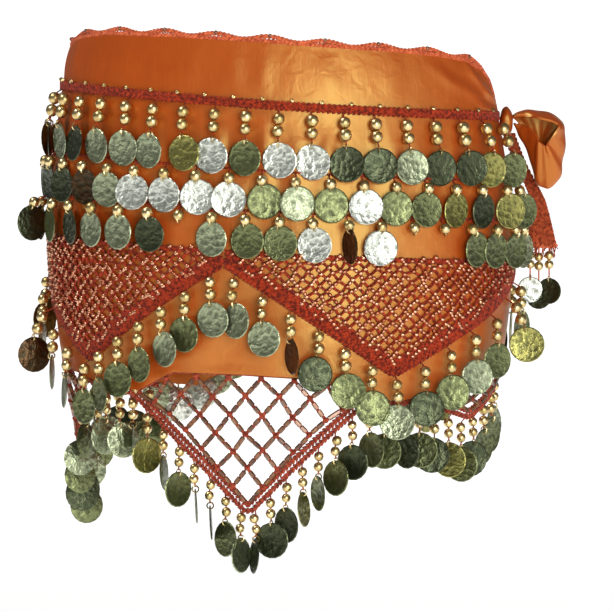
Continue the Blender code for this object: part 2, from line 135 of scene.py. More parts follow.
# One node with its settings and links. A key is a property, or else a socket's name or number.
def addNode(tree, kind, settings=None, links=None):
    made = tree.nodes.new(kind)
    for key, value in (settings or {}).items():
        if isinstance(key, str) and hasattr(made, key):
            setattr(made, key, value)
        else:
            made.inputs[key].default_value = value
    for key, socket in (links or {}).items():
        tree.links.new(socket, made.inputs[key])
    return made


# A new material with the values of its sockets, its node tree and its shader
def startFinish(name, settings):
    finish = bpy.data.materials.new(name)
    finish.use_nodes = True
    shader = finish.node_tree.nodes["Principled BSDF"]
    for key, value in settings.items():
        shader.inputs[key].default_value = value
    return finish, finish.node_tree, shader


# A mix of two colours by a socket
def mixColours(tree, share, first, second):
    mixed = addNode(tree, "ShaderNodeMix", {"data_type": "RGBA"}, {0: share})
    for index, colour in ((6, first), (7, second)):
        if isinstance(colour, str):
            mixed.inputs[index].default_value = linear(colour)
        else:
            tree.links.new(colour, mixed.inputs[index])
    return mixed.outputs[2]


# Stretches a socket's range from low..high to 0..1
def spread(tree, value, low, high):
    return addNode(tree, "ShaderNodeMapRange", {"From Min": low, "From Max": high},
                   {"Value": value}).outputs["Result"]


# Noise whose features are about that size, over the given places
def noise(tree, size, detail, place, settings=None):
    return addNode(tree, "ShaderNodeTexNoise", {"Scale": 1.0 / size, "Detail": detail, **(settings or {})},
                   {"Vector": place}).outputs["Fac"]


# A socket times a factor, plus a number or another socket
def scaled(tree, value, factor, offset):
    made = addNode(tree, "ShaderNodeMath", {"operation": "MULTIPLY_ADD", 1: factor}, {0: value})
    if isinstance(offset, float):
        made.inputs[2].default_value = offset
    else:
        tree.links.new(offset, made.inputs[2])
    return made.outputs[0]


satinSettings = {
    "deep": "#8E2C04",
    "warm": "#A8400C",
    "sheen": "#FFEC88",
    "streakWide": 0.0016,       # real floats are 0.2 mm, too fine to show, so drawn wider
    "streakLong": 0.030,
    "patchSize": 0.055,
    "wrinkleSize": 0.011,
}


# Polyester satin, woven with long floats: a deep even colour with a broad golden sheen, faint
# streaks along the floats, and small soft wrinkles where it was folded and handled.
def makeSatin():
    finish, tree, shader = startFinish("polyesterSatin", {
        "Roughness": 0.38, "IOR": 2.1, "Specular Tint": linear(satinSettings["sheen"]),
        "Anisotropic": 0.45})
    cloth = addNode(tree, "ShaderNodeUVMap", {"uv_map": "clothMetres"}).outputs["UV"]
    streakScale = (1.0 / satinSettings["streakWide"], 1.0 / satinSettings["streakLong"], 1.0)
    stretched = addNode(tree, "ShaderNodeMapping", {"Scale": streakScale}, {"Vector": cloth})
    streaks = noise(tree, 1.0, 3.0, stretched.outputs["Vector"])
    patches = noise(tree, satinSettings["patchSize"], 2.0, cloth)
    wrinkles = noise(tree, satinSettings["wrinkleSize"], 2.5, cloth, {"Distortion": 0.6})
    blend = scaled(tree, spread(tree, patches, 0.3, 0.7), 0.35, 0.32)
    shade = scaled(tree, spread(tree, streaks, 0.3, 0.7), 0.35, blend)
    tree.links.new(mixColours(tree, shade, satinSettings["deep"], satinSettings["warm"]),
                   shader.inputs["Base Color"])
    soft = addNode(tree, "ShaderNodeBump", {"Strength": 0.3, "Distance": 0.0014}, {"Height": wrinkles})
    fine = addNode(tree, "ShaderNodeBump", {"Strength": 0.25, "Distance": 0.0003},
                   {"Height": streaks, "Normal": soft.outputs["Normal"]})
    tree.links.new(fine.outputs["Normal"], shader.inputs["Normal"])
    return finish


# Mercerised cotton yarn, hooked by hand: matt, with light and dark plies and a few loose fibres.
def makeYarn(name, light, dark):
    finish, tree, shader = startFinish(name, {
        "Roughness": 0.85, "Specular IOR Level": 0.2, "Sheen Weight": 0.08, "Sheen Roughness": 0.5})
    place = addNode(tree, "ShaderNodeTexCoord").outputs["Object"]
    plies = noise(tree, 0.0022, 2.0, place)
    fibres = noise(tree, 0.0007, 3.0, place)
    tree.links.new(mixColours(tree, spread(tree, plies, 0.35, 0.65), dark, light),
                   shader.inputs["Base Color"])
    rough = addNode(tree, "ShaderNodeBump", {"Strength": 0.7, "Distance": 0.0005}, {"Height": fibres})
    tree.links.new(rough.outputs["Normal"], shader.inputs["Normal"])
    return finish


# Metallised beads: a pale metal, a little dull where they have been handled.
def makeBeadMetal(name, worn, bright):
    finish, tree, shader = startFinish(name, {"Metallic": 1.0})
    place = addNode(tree, "ShaderNodeTexCoord").outputs["Object"]
    share = spread(tree, noise(tree, 0.009, 3.0, place), 0.35, 0.65)
    tree.links.new(mixColours(tree, share, worn, bright), shader.inputs["Base Color"])
    tree.links.new(scaled(tree, share, -0.14, 0.40), shader.inputs["Roughness"])
    return finish


# Thin brass sheet, stamped and darkened with an olive patina. The stamp leaves small dents and a
# ring of dots, whose hollows keep the dark patina. Each coin's colour is its patina, and the white
# coins also carry a painted reflection of the lamp, the dark coins a painted reflection of the dark room.
def makeCoinBrass():
    finish, tree, shader = startFinish("stampedBrass", {"Metallic": 0.9})
    place = addNode(tree, "ShaderNodeTexCoord").outputs["Object"]
    # per-coin colour: patina, with a painted reflection in the white and the dark coins
    patinaAndReflection = addNode(tree, "ShaderNodeVertexColor", {"layer_name": "patinaAndReflection"}).outputs["Color"]
    dents = noise(tree, 0.0032, 3.0, place, {"Roughness": 0.6})
    strikes = addNode(tree, "ShaderNodeTexVoronoi", {"Scale": 1.0 / 0.0042, "Randomness": 1.0},
                      {"Vector": place}).outputs["Distance"]
    relief = scaled(tree, strikes, 0.55, dents)
    hollow = spread(tree, relief, 0.85, 0.48)
    shaded = addNode(tree, "ShaderNodeMath", {"operation": "MULTIPLY", 1: 0.66}, {0: hollow}).outputs[0]
    tree.links.new(mixColours(tree, shaded, patinaAndReflection, "#343A2C"), shader.inputs["Base Color"])
    tree.links.new(scaled(tree, hollow, 0.22, 0.28), shader.inputs["Roughness"])
    stamped = addNode(tree, "ShaderNodeBump", {"Strength": 0.8, "Distance": 0.0011}, {"Height": relief})
    tree.links.new(stamped.outputs["Normal"], shader.inputs["Normal"])
    return finish


# Cut glass bugle beads, brown over a bronze lining.
def makeBugleGlass():
    finish, tree, shader = startFinish("bugleGlass", {
        "Metallic": 0.35, "Roughness": 0.24, "Coat Weight": 0.5, "Coat Roughness": 0.1})
    place = addNode(tree, "ShaderNodeTexCoord").outputs["Object"]
    lining = noise(tree, 0.007, 2.0, place)
    tree.links.new(mixColours(tree, spread(tree, lining, 0.35, 0.65), "#4A2A18", "#8A5C38"),
                   shader.inputs["Base Color"])
    return finish


satin = makeSatin()
coralYarn = makeYarn("coralCottonYarn", "#D2683F", "#A0401E")
redYarn = makeYarn("vermilionCottonYarn", "#A43210", "#581404")
brickYarn = makeYarn("brickCottonYarn", "#A4432A", "#62200F")
rustYarn = makeYarn("rustCottonYarn", "#AC4A26", "#70280E")
gold = makeBeadMetal("goldMetallisedBeads", "#B39A62", "#E2CC96")
lustredGlass = makeBeadMetal("lustredGlassBeads", "#A0583C", "#DCA482")
coinBrass = makeCoinBrass()
bugleGlass = makeBugleGlass()
print("finishes made")


# A mesh from points in millimetres and groups of faces that each have one number of corners
def makePiece(name, points, faces, finish, nodes, uv=None, patinaAndReflection=None, sharp=60.0):
    faces = [group for group in faces if len(group)]
    sizes = np.concatenate([np.full(len(group), group.shape[1]) for group in faces])
    corners = np.concatenate([group.ravel() for group in faces]).astype(np.int32)
    starts = np.concatenate([[0], np.cumsum(sizes)[:-1]]).astype(np.int32)
    mesh = bpy.data.meshes.new(name)
    mesh.vertices.add(len(points))
    mesh.vertices.foreach_set("co", (points * mm).astype(np.float32).ravel())
    mesh.loops.add(len(corners))
    mesh.loops.foreach_set("vertex_index", corners)
    mesh.polygons.add(len(sizes))
    mesh.polygons.foreach_set("loop_start", starts)
    mesh.update(calc_edges=True)
    mesh.validate()
    if uv is not None:
        layer = mesh.uv_layers.new(name="clothMetres")
        layer.uv.foreach_set("vector", (uv[corners] * mm).astype(np.float32).ravel())
    if patinaAndReflection is not None:
        # a coin's colour per point: its patina, with a painted reflection for the white and the dark coins
        colours = mesh.color_attributes.new("patinaAndReflection", "FLOAT_COLOR", "POINT")
        colours.data.foreach_set("color", patinaAndReflection.astype(np.float32).ravel())
    mesh.shade_smooth()
    mesh.set_sharp_from_angle(angle=math.radians(sharp))
    mesh.materials.append(finish)
    piece = bpy.data.objects.new(name, mesh)
    bpy.context.collection.objects.link(piece)
    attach(piece, "root")
    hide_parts(*nodes)
    return piece


# Faces between rows of points that each close round, with the first and the last row filled in
def roundFaces(rows, columns):
    row, column = np.meshgrid(np.arange(rows - 1), np.arange(columns), indexing="ij")
    after = (column + 1) % columns
    quads = np.stack([row * columns + column, row * columns + after,
                      (row + 1) * columns + after, (row + 1) * columns + column], axis=-1).reshape(-1, 4)
    ends = np.array([np.arange(columns)[::-1], (rows - 1) * columns + np.arange(columns)])
    return [quads, ends]


# A profile of (radius, level) from low to high carried round the z axis, and closed at both ends
def turned(profile, sides):
    profile = np.array(profile, float)
    angle = 2.0 * math.pi * np.arange(sides) / sides
    points = np.stack([
        profile[:, :1] * np.cos(angle), profile[:, :1] * np.sin(angle),
        np.broadcast_to(profile[:, 1:], (len(profile), sides))], axis=-1).reshape(-1, 3)
    return points, roundFaces(len(profile), sides)


# A ring of tube round the x axis: radius 1, and the tube's radius as a share of it
def ringShape(thick, sides, tubeSides):
    around = 2.0 * math.pi * np.arange(sides) / sides
    tube = 2.0 * math.pi * np.arange(tubeSides) / tubeSides
    a, t = np.meshgrid(around, tube, indexing="ij")
    reach = 1.0 + thick * np.cos(t)
    points = np.stack([thick * np.sin(t), reach * np.cos(a), reach * np.sin(a)], axis=-1).reshape(-1, 3)
    i, j = np.meshgrid(np.arange(sides), np.arange(tubeSides), indexing="ij")
    nextI, nextJ = (i + 1) % sides, (j + 1) % tubeSides
    quads = np.stack([i * tubeSides + j, i * tubeSides + nextJ,
                      nextI * tubeSides + nextJ, nextI * tubeSides + j], axis=-1).reshape(-1, 4)
    return points, [quads[:, ::-1]]


# Copies of one shape: each centre plus x, y and z times that copy's three axes
def copies(shape, centres, axes):
    points, faces = shape
    placed = centres[:, None, :] + np.einsum("vk,nkc->nvc", points, axes)
    shift = (np.arange(len(centres)) * len(points))[:, None, None]
    return placed.reshape(-1, 3), [(group[None] + shift).reshape(-1, group.shape[1]) for group in faces]


# Several lots of points and faces joined into one
def joined(lots):
    points = []
    faces = []
    start = 0
    for lotPoints, lotFaces in lots:
        points.append(lotPoints)
        faces += [group + start for group in lotFaces]
        start += len(lotPoints)
    return np.concatenate(points), faces


# Vectors divided by their lengths
def unit(vectors):
    return vectors / np.maximum(np.linalg.norm(vectors, axis=-1, keepdims=True), 1e-9)


# Tubes along many paths at once: a circle of points round each path point, square to the path
def tubes(paths, radius, sides):
    paths = np.asarray(paths, float)
    tangent = unit(np.gradient(paths, axis=1))
    hint = np.where(np.abs(tangent[..., 2:]) > 0.8, (1.0, 0.0, 0.0), (0.0, 0.0, 1.0))
    first = unit(np.cross(hint, tangent))
    second = np.cross(tangent, first)
    angle = 2.0 * math.pi * np.arange(sides) / sides
    radii = np.broadcast_to(np.asarray(radius, float), paths.shape[:2])[..., None, None]
    rings = paths[:, :, None, :] + radii * (first[:, :, None, :] * np.cos(angle)[:, None]
                                            + second[:, :, None, :] * np.sin(angle)[:, None])
    count, steps = paths.shape[:2]
    lot, step, side = np.meshgrid(np.arange(count), np.arange(steps - 1), np.arange(sides), indexing="ij")
    base = (lot * steps + step) * sides
    after = (side + 1) % sides
    quads = np.stack([base + side, base + after, base + sides + after, base + sides + side], axis=-1)
    starts = (np.arange(count) * steps * sides)[:, None]
    startCaps = starts + np.arange(sides)[::-1]
    endCaps = starts + (steps - 1) * sides + np.arange(sides)
    return rings.reshape(-1, 3), [quads.reshape(-1, 4), startCaps, endCaps]


# A cloth wall: a grid of outer points, rows from the top, and inner ones a thickness behind them
# along the grid's own normals, closed round its edge
def clothWall(outer, thickness):
    rows, columns = outer.shape[:2]
    normal = unit(np.cross(np.gradient(outer, axis=0), np.gradient(outer, axis=1)))
    inner = outer - normal * thickness
    points = np.concatenate([outer.reshape(-1, 3), inner.reshape(-1, 3)])
    row, column = np.meshgrid(np.arange(rows - 1), np.arange(columns - 1), indexing="ij")
    a = (row * columns + column).ravel()
    outside = np.stack([a, a + columns, a + columns + 1, a + 1], axis=-1)
    inside = outside[:, ::-1] + rows * columns
    rim = np.concatenate([
        np.arange(columns), np.arange(2, rows) * columns - 1,
        np.arange(rows * columns - 1, (rows - 1) * columns - 1, -1),
        np.arange(rows - 2, 0, -1) * columns])
    after = np.roll(rim, -1)
    edge = np.stack([rim, after, after + rows * columns, rim + rows * columns], axis=-1)
    return points, [outside, inside, edge]


# Points along a path of turns and heights, an even pitch apart, with the unit vectors there:
# along the path, sideways on the cloth, and out from it
def walk(turns, heights, out, pitch):
    dense = np.linspace(0.0, 1.0, 40 * len(turns))
    marks = np.linspace(0.0, 1.0, len(turns))
    t = np.interp(dense, marks, turns)
    h = np.interp(dense, marks, heights)
    line = spot(t, h, out)
    run = np.concatenate([[0.0], np.cumsum(np.linalg.norm(np.diff(line, axis=0), axis=1))])
    stops = np.linspace(0.0, run[-1], max(2, int(round(run[-1] / pitch)) + 1))
    t = np.interp(stops, run, t)
    h = np.interp(stops, run, h)
    centres = spot(t, h, out + clothOut(t, h))
    tangent = unit(np.gradient(centres, axis=0))
    outward = directions(t)[1]
    side = unit(np.cross(outward, tangent))
    return centres, tangent, side, outward


ballShape = turned([(0.34, -0.94), (0.80, -0.62), (1.0, 0.0), (0.80, 0.62), (0.34, 0.94)], 10)
seedShape = turned([(0.55, -0.72), (1.0, 0.0), (0.55, 0.72)], 7)
leafShape = turned([(0.30, -0.97), (0.86, -0.50), (1.0, 0.05), (0.80, 0.60), (0.30, 0.97)], 6)
bugleShape = turned([(0.72, -1.0), (1.0, -0.9), (1.0, 0.9), (0.72, 1.0)], 6)
coinShape = turned([(0.93, -0.8), (1.0, 0.0), (0.94, 1.0), (0.86, 0.45)], 18)
jumpRing = ringShape(0.22, 9, 4)

# Crochet stitches: width of a row, then length, width, thickness and lean of a leaf, and the rows
stitches = {
    "braid": (2.3, 5.4, 2.3, 2.0, 34.0, 2),
    "thinChain": (1.0, 3.2, 1.1, 1.1, 24.0),
    "edging": (2.0, 4.4, 1.9, 2.4, 26.0),
    "strip": (2.4, 4.6, 2.0, 1.9, 30.0),
    "triangleBorder": (2.9, 5.0, 2.3, 2.2, 32.0, 3),
    "netBorder": (2.4, 5.0, 2.2, 2.4, 36.0),
    "netStrip": (2.4, 4.8, 2.1, 2.2, 32.0),
    "tailStrand": (1.7, 4.6, 2.0, 1.9, 24.0),
    "tailStrip": (2.4, 4.6, 2.0, 2.2, 30.0),
}


# Chain stitches along a path: on each side of it, leaves that lean in towards the way it runs
def chain(path, stitch, long, wide, thick, lean, rows=1):
    centres, tangent, side, outward = path
    lots = []
    for row in range(rows):
        middle = (row - (rows - 1) / 2.0) * stitch
        for sign in (-1.0, 1.0):
            jitter = chance.normal(0.0, 0.06, (len(centres), 1))
            angle = math.radians(lean) * sign + jitter
            axis = tangent * np.cos(angle) - side * np.sin(angle)
            across = np.cross(outward, axis)
            spots = centres + side * (middle + sign * stitch * 0.24) + tangent * (sign * 0.2)
            axes = np.stack([across * wide / 2.0, outward * thick / 2.0, axis * long / 2.0], axis=1)
            lots.append(copies(leafShape, spots, axes))
    return joined(lots)


# Small beads at given points, their holes along the given direction
def beadsAt(shape, centres, radius, along, outward):
    size = np.broadcast_to(np.asarray(radius, float), (len(centres),))[:, None]
    across = np.cross(outward, along)
    axes = np.stack([unit(across) * size, unit(np.cross(along, across)) * size, along * size], axis=1)
    return copies(shape, centres, axes)


# Creases placed one by one: turn, height, length, width, depth, lean from upright in degrees
panelSettings = {
    "start": 0.235,
    "end": 1.275,
    "columns": 330,
    "rows": 64,
    "hemFold": 7.0,             # height of the turned hem's stitching above the edge
    "creases": [
        (0.268, -60, 120, 7, 1.6, 4), (0.300, -40, 70, 6, 1.2, -8), (0.345, -50, 95, 8, 1.5, 6),
        (0.402, -38, 60, 6, 1.1, -4), (0.448, -62, 115, 9, 1.4, 3), (0.505, -42, 72, 7, 1.3, -6),
        (0.566, -55, 100, 8, 1.5, 5), (0.611, -36, 52, 6, 1.0, -3), (0.664, -60, 118, 9, 1.4, 4),
        (0.706, -44, 66, 7, 1.2, 8), (0.752, -58, 96, 8, 1.3, -5), (0.791, -34, 48, 5, 1.3, 4),
        (0.822, -46, 80, 7, 1.5, -7), (0.859, -33, 50, 5, 1.2, 3), (0.887, -70, 90, 8, 1.3, 12),
        (0.913, -36, 58, 5, 1.5, -4), (0.941, -52, 74, 6, 1.2, 6), (0.966, -32, 46, 5, 1.6, 2),
        (0.985, -66, 64, 7, 1.1, -14), (1.006, -36, 62, 5, 1.5, -3), (1.031, -44, 72, 6, 1.4, 5),
        (1.058, -33, 44, 5, 1.5, 0), (1.083, -60, 88, 7, 1.4, -9), (1.112, -35, 54, 5, 1.3, 4),
        (1.139, -48, 78, 7, 1.5, -5), (1.168, -36, 56, 5, 1.2, 7), (1.196, -56, 96, 8, 1.6, -6),
        (1.227, -40, 70, 6, 1.4, 3), (1.252, -62, 118, 8, 1.5, -4),
        (0.952, -168, 40, 12, 1.2, 38), (1.020, -176, 52, 14, 1.0, -30), (1.044, -160, 34, 9, 0.9, -52),
        (0.990, -150, 60, 16, -1.0, 70), (0.975, -182, 30, 8, 0.8, 20)],
}
bandSettings = {
    "turns": (0.268, 1.256),
    "top": [        # turn, height
        (0.268, 9.0), (0.290, 23.0), (0.320, 33.0), (0.380, 38.0), (0.500, 38.0), (0.660, 33.0),
        (0.720, 27.0), (0.760, 26.0), (0.800, 32.0), (0.840, 37.0), (0.920, 40.5), (1.000, 42.0),
        (1.120, 41.0), (1.170, 39.5), (1.205, 36.0), (1.225, 31.0), (1.243, 21.0), (1.256, 9.0)],
    "columns": 330,
    "rows": 22,
    "creases": [
        (1.236, 12, 40, 3.2, 1.5, -66), (1.219, 20, 52, 3.8, 1.4, -52), (1.196, 16, 60, 4.4, 1.0, -68),
        (1.224, 5, 46, 2.8, 1.1, -82), (1.170, 26, 44, 5.0, 0.8, -56), (1.205, 31, 26, 3.4, 1.0, -38),
        (0.290, 12, 38, 3.2, 1.5, 64), (0.312, 20, 48, 3.8, 1.2, 50), (0.342, 16, 56, 4.6, 0.9, 66),
        (0.300, 5, 42, 2.8, 1.0, 80), (1.118, 24, 52, 8, 0.7, 12), (1.060, 20, 40, 9, 0.6, -8),
        (1.004, 22, 46, 6, 0.6, 3), (0.978, 24, 38, 5, 0.5, -5), (0.935, 22, 50, 10, 0.7, 8),
        (0.872, 18, 44, 9, 0.5, -10), (0.800, 20, 36, 8, 0.7, 6), (0.760, 18, 34, 6, 0.8, -4),
        (0.690, 20, 42, 10, 0.6, 9), (0.610, 22, 50, 11, 0.7, -6), (0.530, 20, 40, 9, 0.5, 4),
        (0.455, 22, 48, 10, 0.7, -9), (0.400, 20, 42, 8, 0.6, 7)],
}
hemTable = np.array([
    (0.235, -178.0), (0.300, -186.0), (0.375, -198.0), (0.411, -198.0), (0.446, -184.0), (0.500, -183.0),
    (0.554, -184.0), (0.589, -198.0), (0.625, -197.0), (0.680, -189.0), (0.750, -185.0), (0.820, -190.0),
    (0.855, -198.0), (0.8895, -198.0), (0.925, -184.0), (0.988, -183.0), (1.051, -184.0),
    (1.0865, -196.0), (1.125, -198.0), (1.170, -189.0), (1.220, -182.0), (1.275, -178.0)])
bandTable = np.array(bandSettings["top"])


# Height of the hem at a turn, on straight lines through its table
def hemHeight(turn):
    return np.interp(turn, hemTable[:, 0], hemTable[:, 1])


# Height of the band's top edge at a turn, found the same way
def bandTop(turn):
    return np.interp(turn, bandTable[:, 0], bandTable[:, 1])


# For each crease, a ridge exp(-v^2) with a shallow dip beside it, fading as (1 - u^2)^2 towards its
# ends, where u runs along the crease and v across it
def creased(creases, turn, height):
    total = 0.0 * turn
    for creaseTurn, level, long, wide, deep, lean in creases:
        tilt = math.radians(lean)
        x = (turn - creaseTurn) * aroundLength
        y = height - level
        u = (x * math.sin(tilt) + y * math.cos(tilt)) / (0.5 * long)
        v = (x * math.cos(tilt) - y * math.sin(tilt)) / wide
        fade = np.clip(1.0 - u * u, 0.0, 1.0) ** 2
        total = total + deep * fade * (np.exp(-v * v) - 0.45 * np.exp(-(v - 1.7) ** 2))
    return total


# How far the panel's face stands out: its creases, and two slow waves round the hips
def clothOut(turn, height):
    wave = 0.5 * np.sin(2.0 * math.pi * (9.0 * turn + 0.003 * height) + 1.1)
    wave = wave + 0.3 * np.sin(2.0 * math.pi * (17.0 * turn - 0.006 * height) + 0.4)
    below = smoothStep(-height / 12.0)
    edge = smoothStep((turn - panelSettings["start"]) / 0.01) * smoothStep(
        (panelSettings["end"] - turn) / 0.01)
    return below * edge * (creased(panelSettings["creases"], turn, height) + wave) - 0.4 * below


# Flat places on the cloth in millimetres, for its outer and its inner face
def clothUv(turn, height):
    flat = np.stack([turn * aroundLength, height], axis=-1).reshape(-1, 2)
    return np.concatenate([flat, flat])


# A wall from the braid down to the hem, with a shallow groove where the turned hem is stitched
def makeSkirtPanel():
    turns = np.linspace(panelSettings["start"], panelSettings["end"], panelSettings["columns"])
    down = np.linspace(0.0, 1.0, panelSettings["rows"])[:, None]
    turn = np.broadcast_to(turns, (panelSettings["rows"], turns.size))
    height = -form["seam"] + (hemHeight(turns) + form["seam"]) * down
    above = height - hemHeight(turn)
    fold = 0.35 * np.exp(-((above - panelSettings["hemFold"]) / 1.6) ** 2)
    out = clothOut(turn, height) + 0.3 * smoothStep(1.0 - above / panelSettings["hemFold"]) - fold
    points, faces = clothWall(spot(turn, height, out), form["wall"])
    return makePiece("skirtPanelSatin", points, faces, satin, ["skirt_panel"],
                     uv=clothUv(turn, height), sharp=40.0)


# A wall from the braid up to the edging, a little fuller at half its height
def makeWaistband():
    turns = np.linspace(*bandSettings["turns"], bandSettings["columns"])
    up = np.linspace(1.0, 0.0, bandSettings["rows"])[:, None]
    turn = np.broadcast_to(turns, (bandSettings["rows"], turns.size))
    height = form["seam"] + (bandTop(turns) - form["seam"]) * up
    swell = 0.7 * np.sin(math.pi * up) - 0.3
    out = swell + creased(bandSettings["creases"], turn, height)
    points, faces = clothWall(spot(turn, height, out), form["wall"])
    return makePiece("waistbandSatin", points, faces, satin, ["waistband"],
                     uv=clothUv(turn, height), sharp=40.0)


waistband = makeWaistband()
skirtPanel = makeSkirtPanel()
print("satin band and panel made")

# Coin colours: patina, and in "w" and "d" also a painted reflection, of the lamp in white, of the dark room
# in dark
patinaAndReflectionColours = {
    "w": "#CCD0C4",     # polished and silvery, with a painted reflection of the lamp
    "g": "#98A080",     # pale grey green
    "o": "#727850",     # olive
    "y": "#908C4E",     # yellowish
    "d": "#464C36",     # dark, with a painted reflection of the dark room
    "b": "#483420",     # brown
}
dropSettings = {
    "coinRadius": 12.2,
    "coinHalfThick": 0.5,
    "holeIn": 1.9,              # from a coin's edge in to its hole
    "threadRadius": 0.55,
    "layer": 0.7,               # every second coin hangs this much further out
    "clear": 2.9,               # least distance of a coin's edge from the panel
    "ringUp": 1.2,
    "ringRadius": 2.3,
    "kinds": {                  # depths of the beads and of the coin's middle below the strip, bead radius
        "rowTwoBeads": ((5.9, 14.3), 34.1, 4.3),
        "rowOneBead": ((5.5,), 19.8, 4.0),
        "edgeTwoBeads": ((6.0, 14.0), 31.4, 4.0),
        "netTwoBeads": ((6.0, 13.2), 31.4, 3.4),
        "tailTwoBeads": ((5.0, 11.2), 28.6, 3.2),
    },
    "usual": "ggooooyddw",      # patina letters of coins that the photo doesn't show, picked by chance; w and d also paint reflections
}
coinRows = [
    {"name": "coinRow1", "node": "coin_row_1", "first": 0.5, "drops": 36, "low": -3.0, "high": 6.0,
     "out": 1.3, "stitch": "braid", "pitch": 3.5,
     "hang": 4.8, "kind": "rowTwoBeads", "swing": 8.0, "seen": (18, "dgdgggywowwddgddyo"),
     "turned": {34: 24.0, 35: 34.0}},
    {"name": "coinRow2", "node": "coin_row_2", "first": 1.0, "drops": 36, "low": -45.7, "high": 2.2,
     "out": 0.7, "stitch": "thinChain", "pitch": 2.5,
     "hang": 4.8, "kind": "rowOneBead", "swing": -8.0, "seen": (18, "ddbgwwwwogowooydyo"),
     "turned": {34: 30.0, 35: 36.0}},
    {"name": "coinRow3", "node": "coin_row_3", "first": 0.5, "drops": 37, "low": -73.1, "high": 2.2,
     "out": 0.7, "stitch": "thinChain", "pitch": 2.5,
     "hang": 5.8, "kind": "rowOneBead", "swing": 7.0, "seen": (18, "dodggdxgoowBwxxooog"),
     "turned": {18: 62.0, 35: 20.0, 36: 30.0}},
]
rowStart = 0.284        # turn where the three rows begin, and from one drop to the next
rowStep = 0.02667


# A letter for each coin: the ones that show as in the photo, and the rest by chance
def coinLetters(count, seen):
    letters = list(chance.choice(list(dropSettings["usual"]), count))
    if seen:
        first, codes = seen
        letters[first:first + len(codes)] = codes[:count - first]
    return letters


# A point of each drop, at a depth under its root. It hangs straight from the widest level.
def dropPoint(turns, roots, depth, hang):
    heights = roots - depth
    fullest = np.maximum(heights, np.minimum(roots, form["widest"]))
    return spot(turns, heights, hang, fullest)


# The drops of one fringe: threads, beads, and coins that each swing a little from their ring
def makeDrops(fringe):
    turns, roots = fringe["turns"], fringe["roots"]
    depths, coinDepth, beadRadius = dropSettings["kinds"][fringe["kind"]]
    count = len(turns)
    letters = coinLetters(count, fringe.get("seen"))
    along, outward = directions(turns)
    up = np.array([0.0, 0.0, 1.0]) + 0.0 * along
    layer = dropSettings["layer"] * (np.arange(count) % 2)[:, None] * outward
    radius = dropSettings["coinRadius"]
    edgeOn = np.array([letter.isupper() for letter in letters])
    yaw = np.radians(fringe["swing"] + chance.normal(0.0, fringe["yawSpread"], count))
    yaw = np.where(edgeOn, np.radians(chance.choice([-68.0, 66.0, 74.0], count)), yaw)[:, None]
    for index, degrees in fringe.get("turned", {}).items():
        yaw[index] = math.radians(degrees)
    hole = dropPoint(turns, roots, coinDepth - radius + dropSettings["holeIn"], fringe["hang"]) + layer
    stand = 0.0 * yaw
    if fringe["onPanel"]:       # a turned coin rests its edge on the satin, so it stands further out
        stand = np.clip(radius * np.abs(np.sin(yaw)) + dropSettings["clear"] - fringe["hang"], 0.0, None)
    hole = hole + outward * stand + along * chance.normal(0.0, 0.5, (count, 1))
    top = dropPoint(turns, roots, 0.0, fringe["rootOut"])
    pitch = np.radians(np.clip(chance.normal(-3.0, 4.0, count), -3.0, 6.0))[:, None]
    roll = np.radians(chance.normal(0.0, 7.0, count))[:, None]
    wide = along * np.cos(yaw) + outward * np.sin(yaw)
    face = outward * np.cos(yaw) - along * np.sin(yaw)
    tipped = face * np.cos(pitch) + up * np.sin(pitch)
    tall = up * np.cos(pitch) - face * np.sin(pitch)
    wideRolled = wide * np.cos(roll) + tall * np.sin(roll)
    tallRolled = tall * np.cos(roll) - wide * np.sin(roll)
    centres = hole - tallRolled * (radius - dropSettings["holeIn"])
    kept = np.array([letter != "x" for letter in letters])
    axes = np.stack([wideRolled * radius, tallRolled * radius,
                     tipped * dropSettings["coinHalfThick"]], axis=1)
    points, faces = copies(coinShape, centres[kept], axes[kept])
    # each coin's patina colour, with a painted reflection for the white and the dark coins
    colours = np.array([linear(patinaAndReflectionColours[letter.lower()]) for letter in np.array(letters)[kept]])
    patinaAndReflection = np.repeat(colours, len(coinShape[0]), axis=0)
    makePiece(fringe["name"] + "Coins", points, faces, coinBrass, [fringe["node"]],
              patinaAndReflection=patinaAndReflection, sharp=30.0)
    ringTop = hole + up * dropSettings["ringUp"]
    ringAxes = np.stack([wide, face, up], axis=1) * dropSettings["ringRadius"]
    strung = []
    for depth in depths:
        share = min(1.0, depth / (coinDepth - radius))
        middle = dropPoint(turns, roots, depth, fringe["hang"]) + outward * stand * share
        middle = middle + along * chance.normal(0.0, 0.35, (count, 1))
        lean = unit(up + along * chance.normal(0.0, 0.12, (count, 1)))
        sizes = beadRadius * chance.normal(1.0, 0.03, count)
        strung.append(beadsAt(ballShape, middle, sizes, lean, outward))
    strung.append(copies(jumpRing, ringTop, ringAxes))
    points, faces = joined(strung)
    makePiece(fringe["name"] + "Beads", points, faces, gold, [fringe["node"]])
    neck = dropPoint(turns, roots, depths[0] * 0.4, fringe["hang"] * 0.8 + fringe["rootOut"] * 0.2)
    paths = np.stack([top, neck, middle, ringTop + up * 1.4], axis=1)
    points, faces = joined([tubes(paths, dropSettings["threadRadius"], 5), fringe["strip"]])
    makePiece(fringe["name"] + "Crochet", points, faces, fringe["yarn"], [fringe["node"]])


# One row of drops round the hips, with the braid or chain that it hangs from
def makeCoinRow(row):
    turns = rowStart + rowStep * (row["first"] + np.arange(row["drops"]))
    stitched = np.linspace(rowStart, turns[-1] + rowStep / 2.0, 60)
    level = row["low"] + row["high"] / 2.0
    path = walk(stitched, np.full(60, level), row["out"], row["pitch"])
    makeDrops({
        **row, "turns": turns, "roots": np.full(len(turns), row["low"]), "rootOut": 1.4,
        "onPanel": True, "yawSpread": 6.0, "yarn": redYarn,
        "strip": chain(path, *stitches[row["stitch"]])})


for coinRow in coinRows:
    makeCoinRow(coinRow)
print("coin rows made")

braidBeads = {"pitch": 21.0, "radius": 1.7, "height": 3.6, "out": 2.0, "end": 1.24}


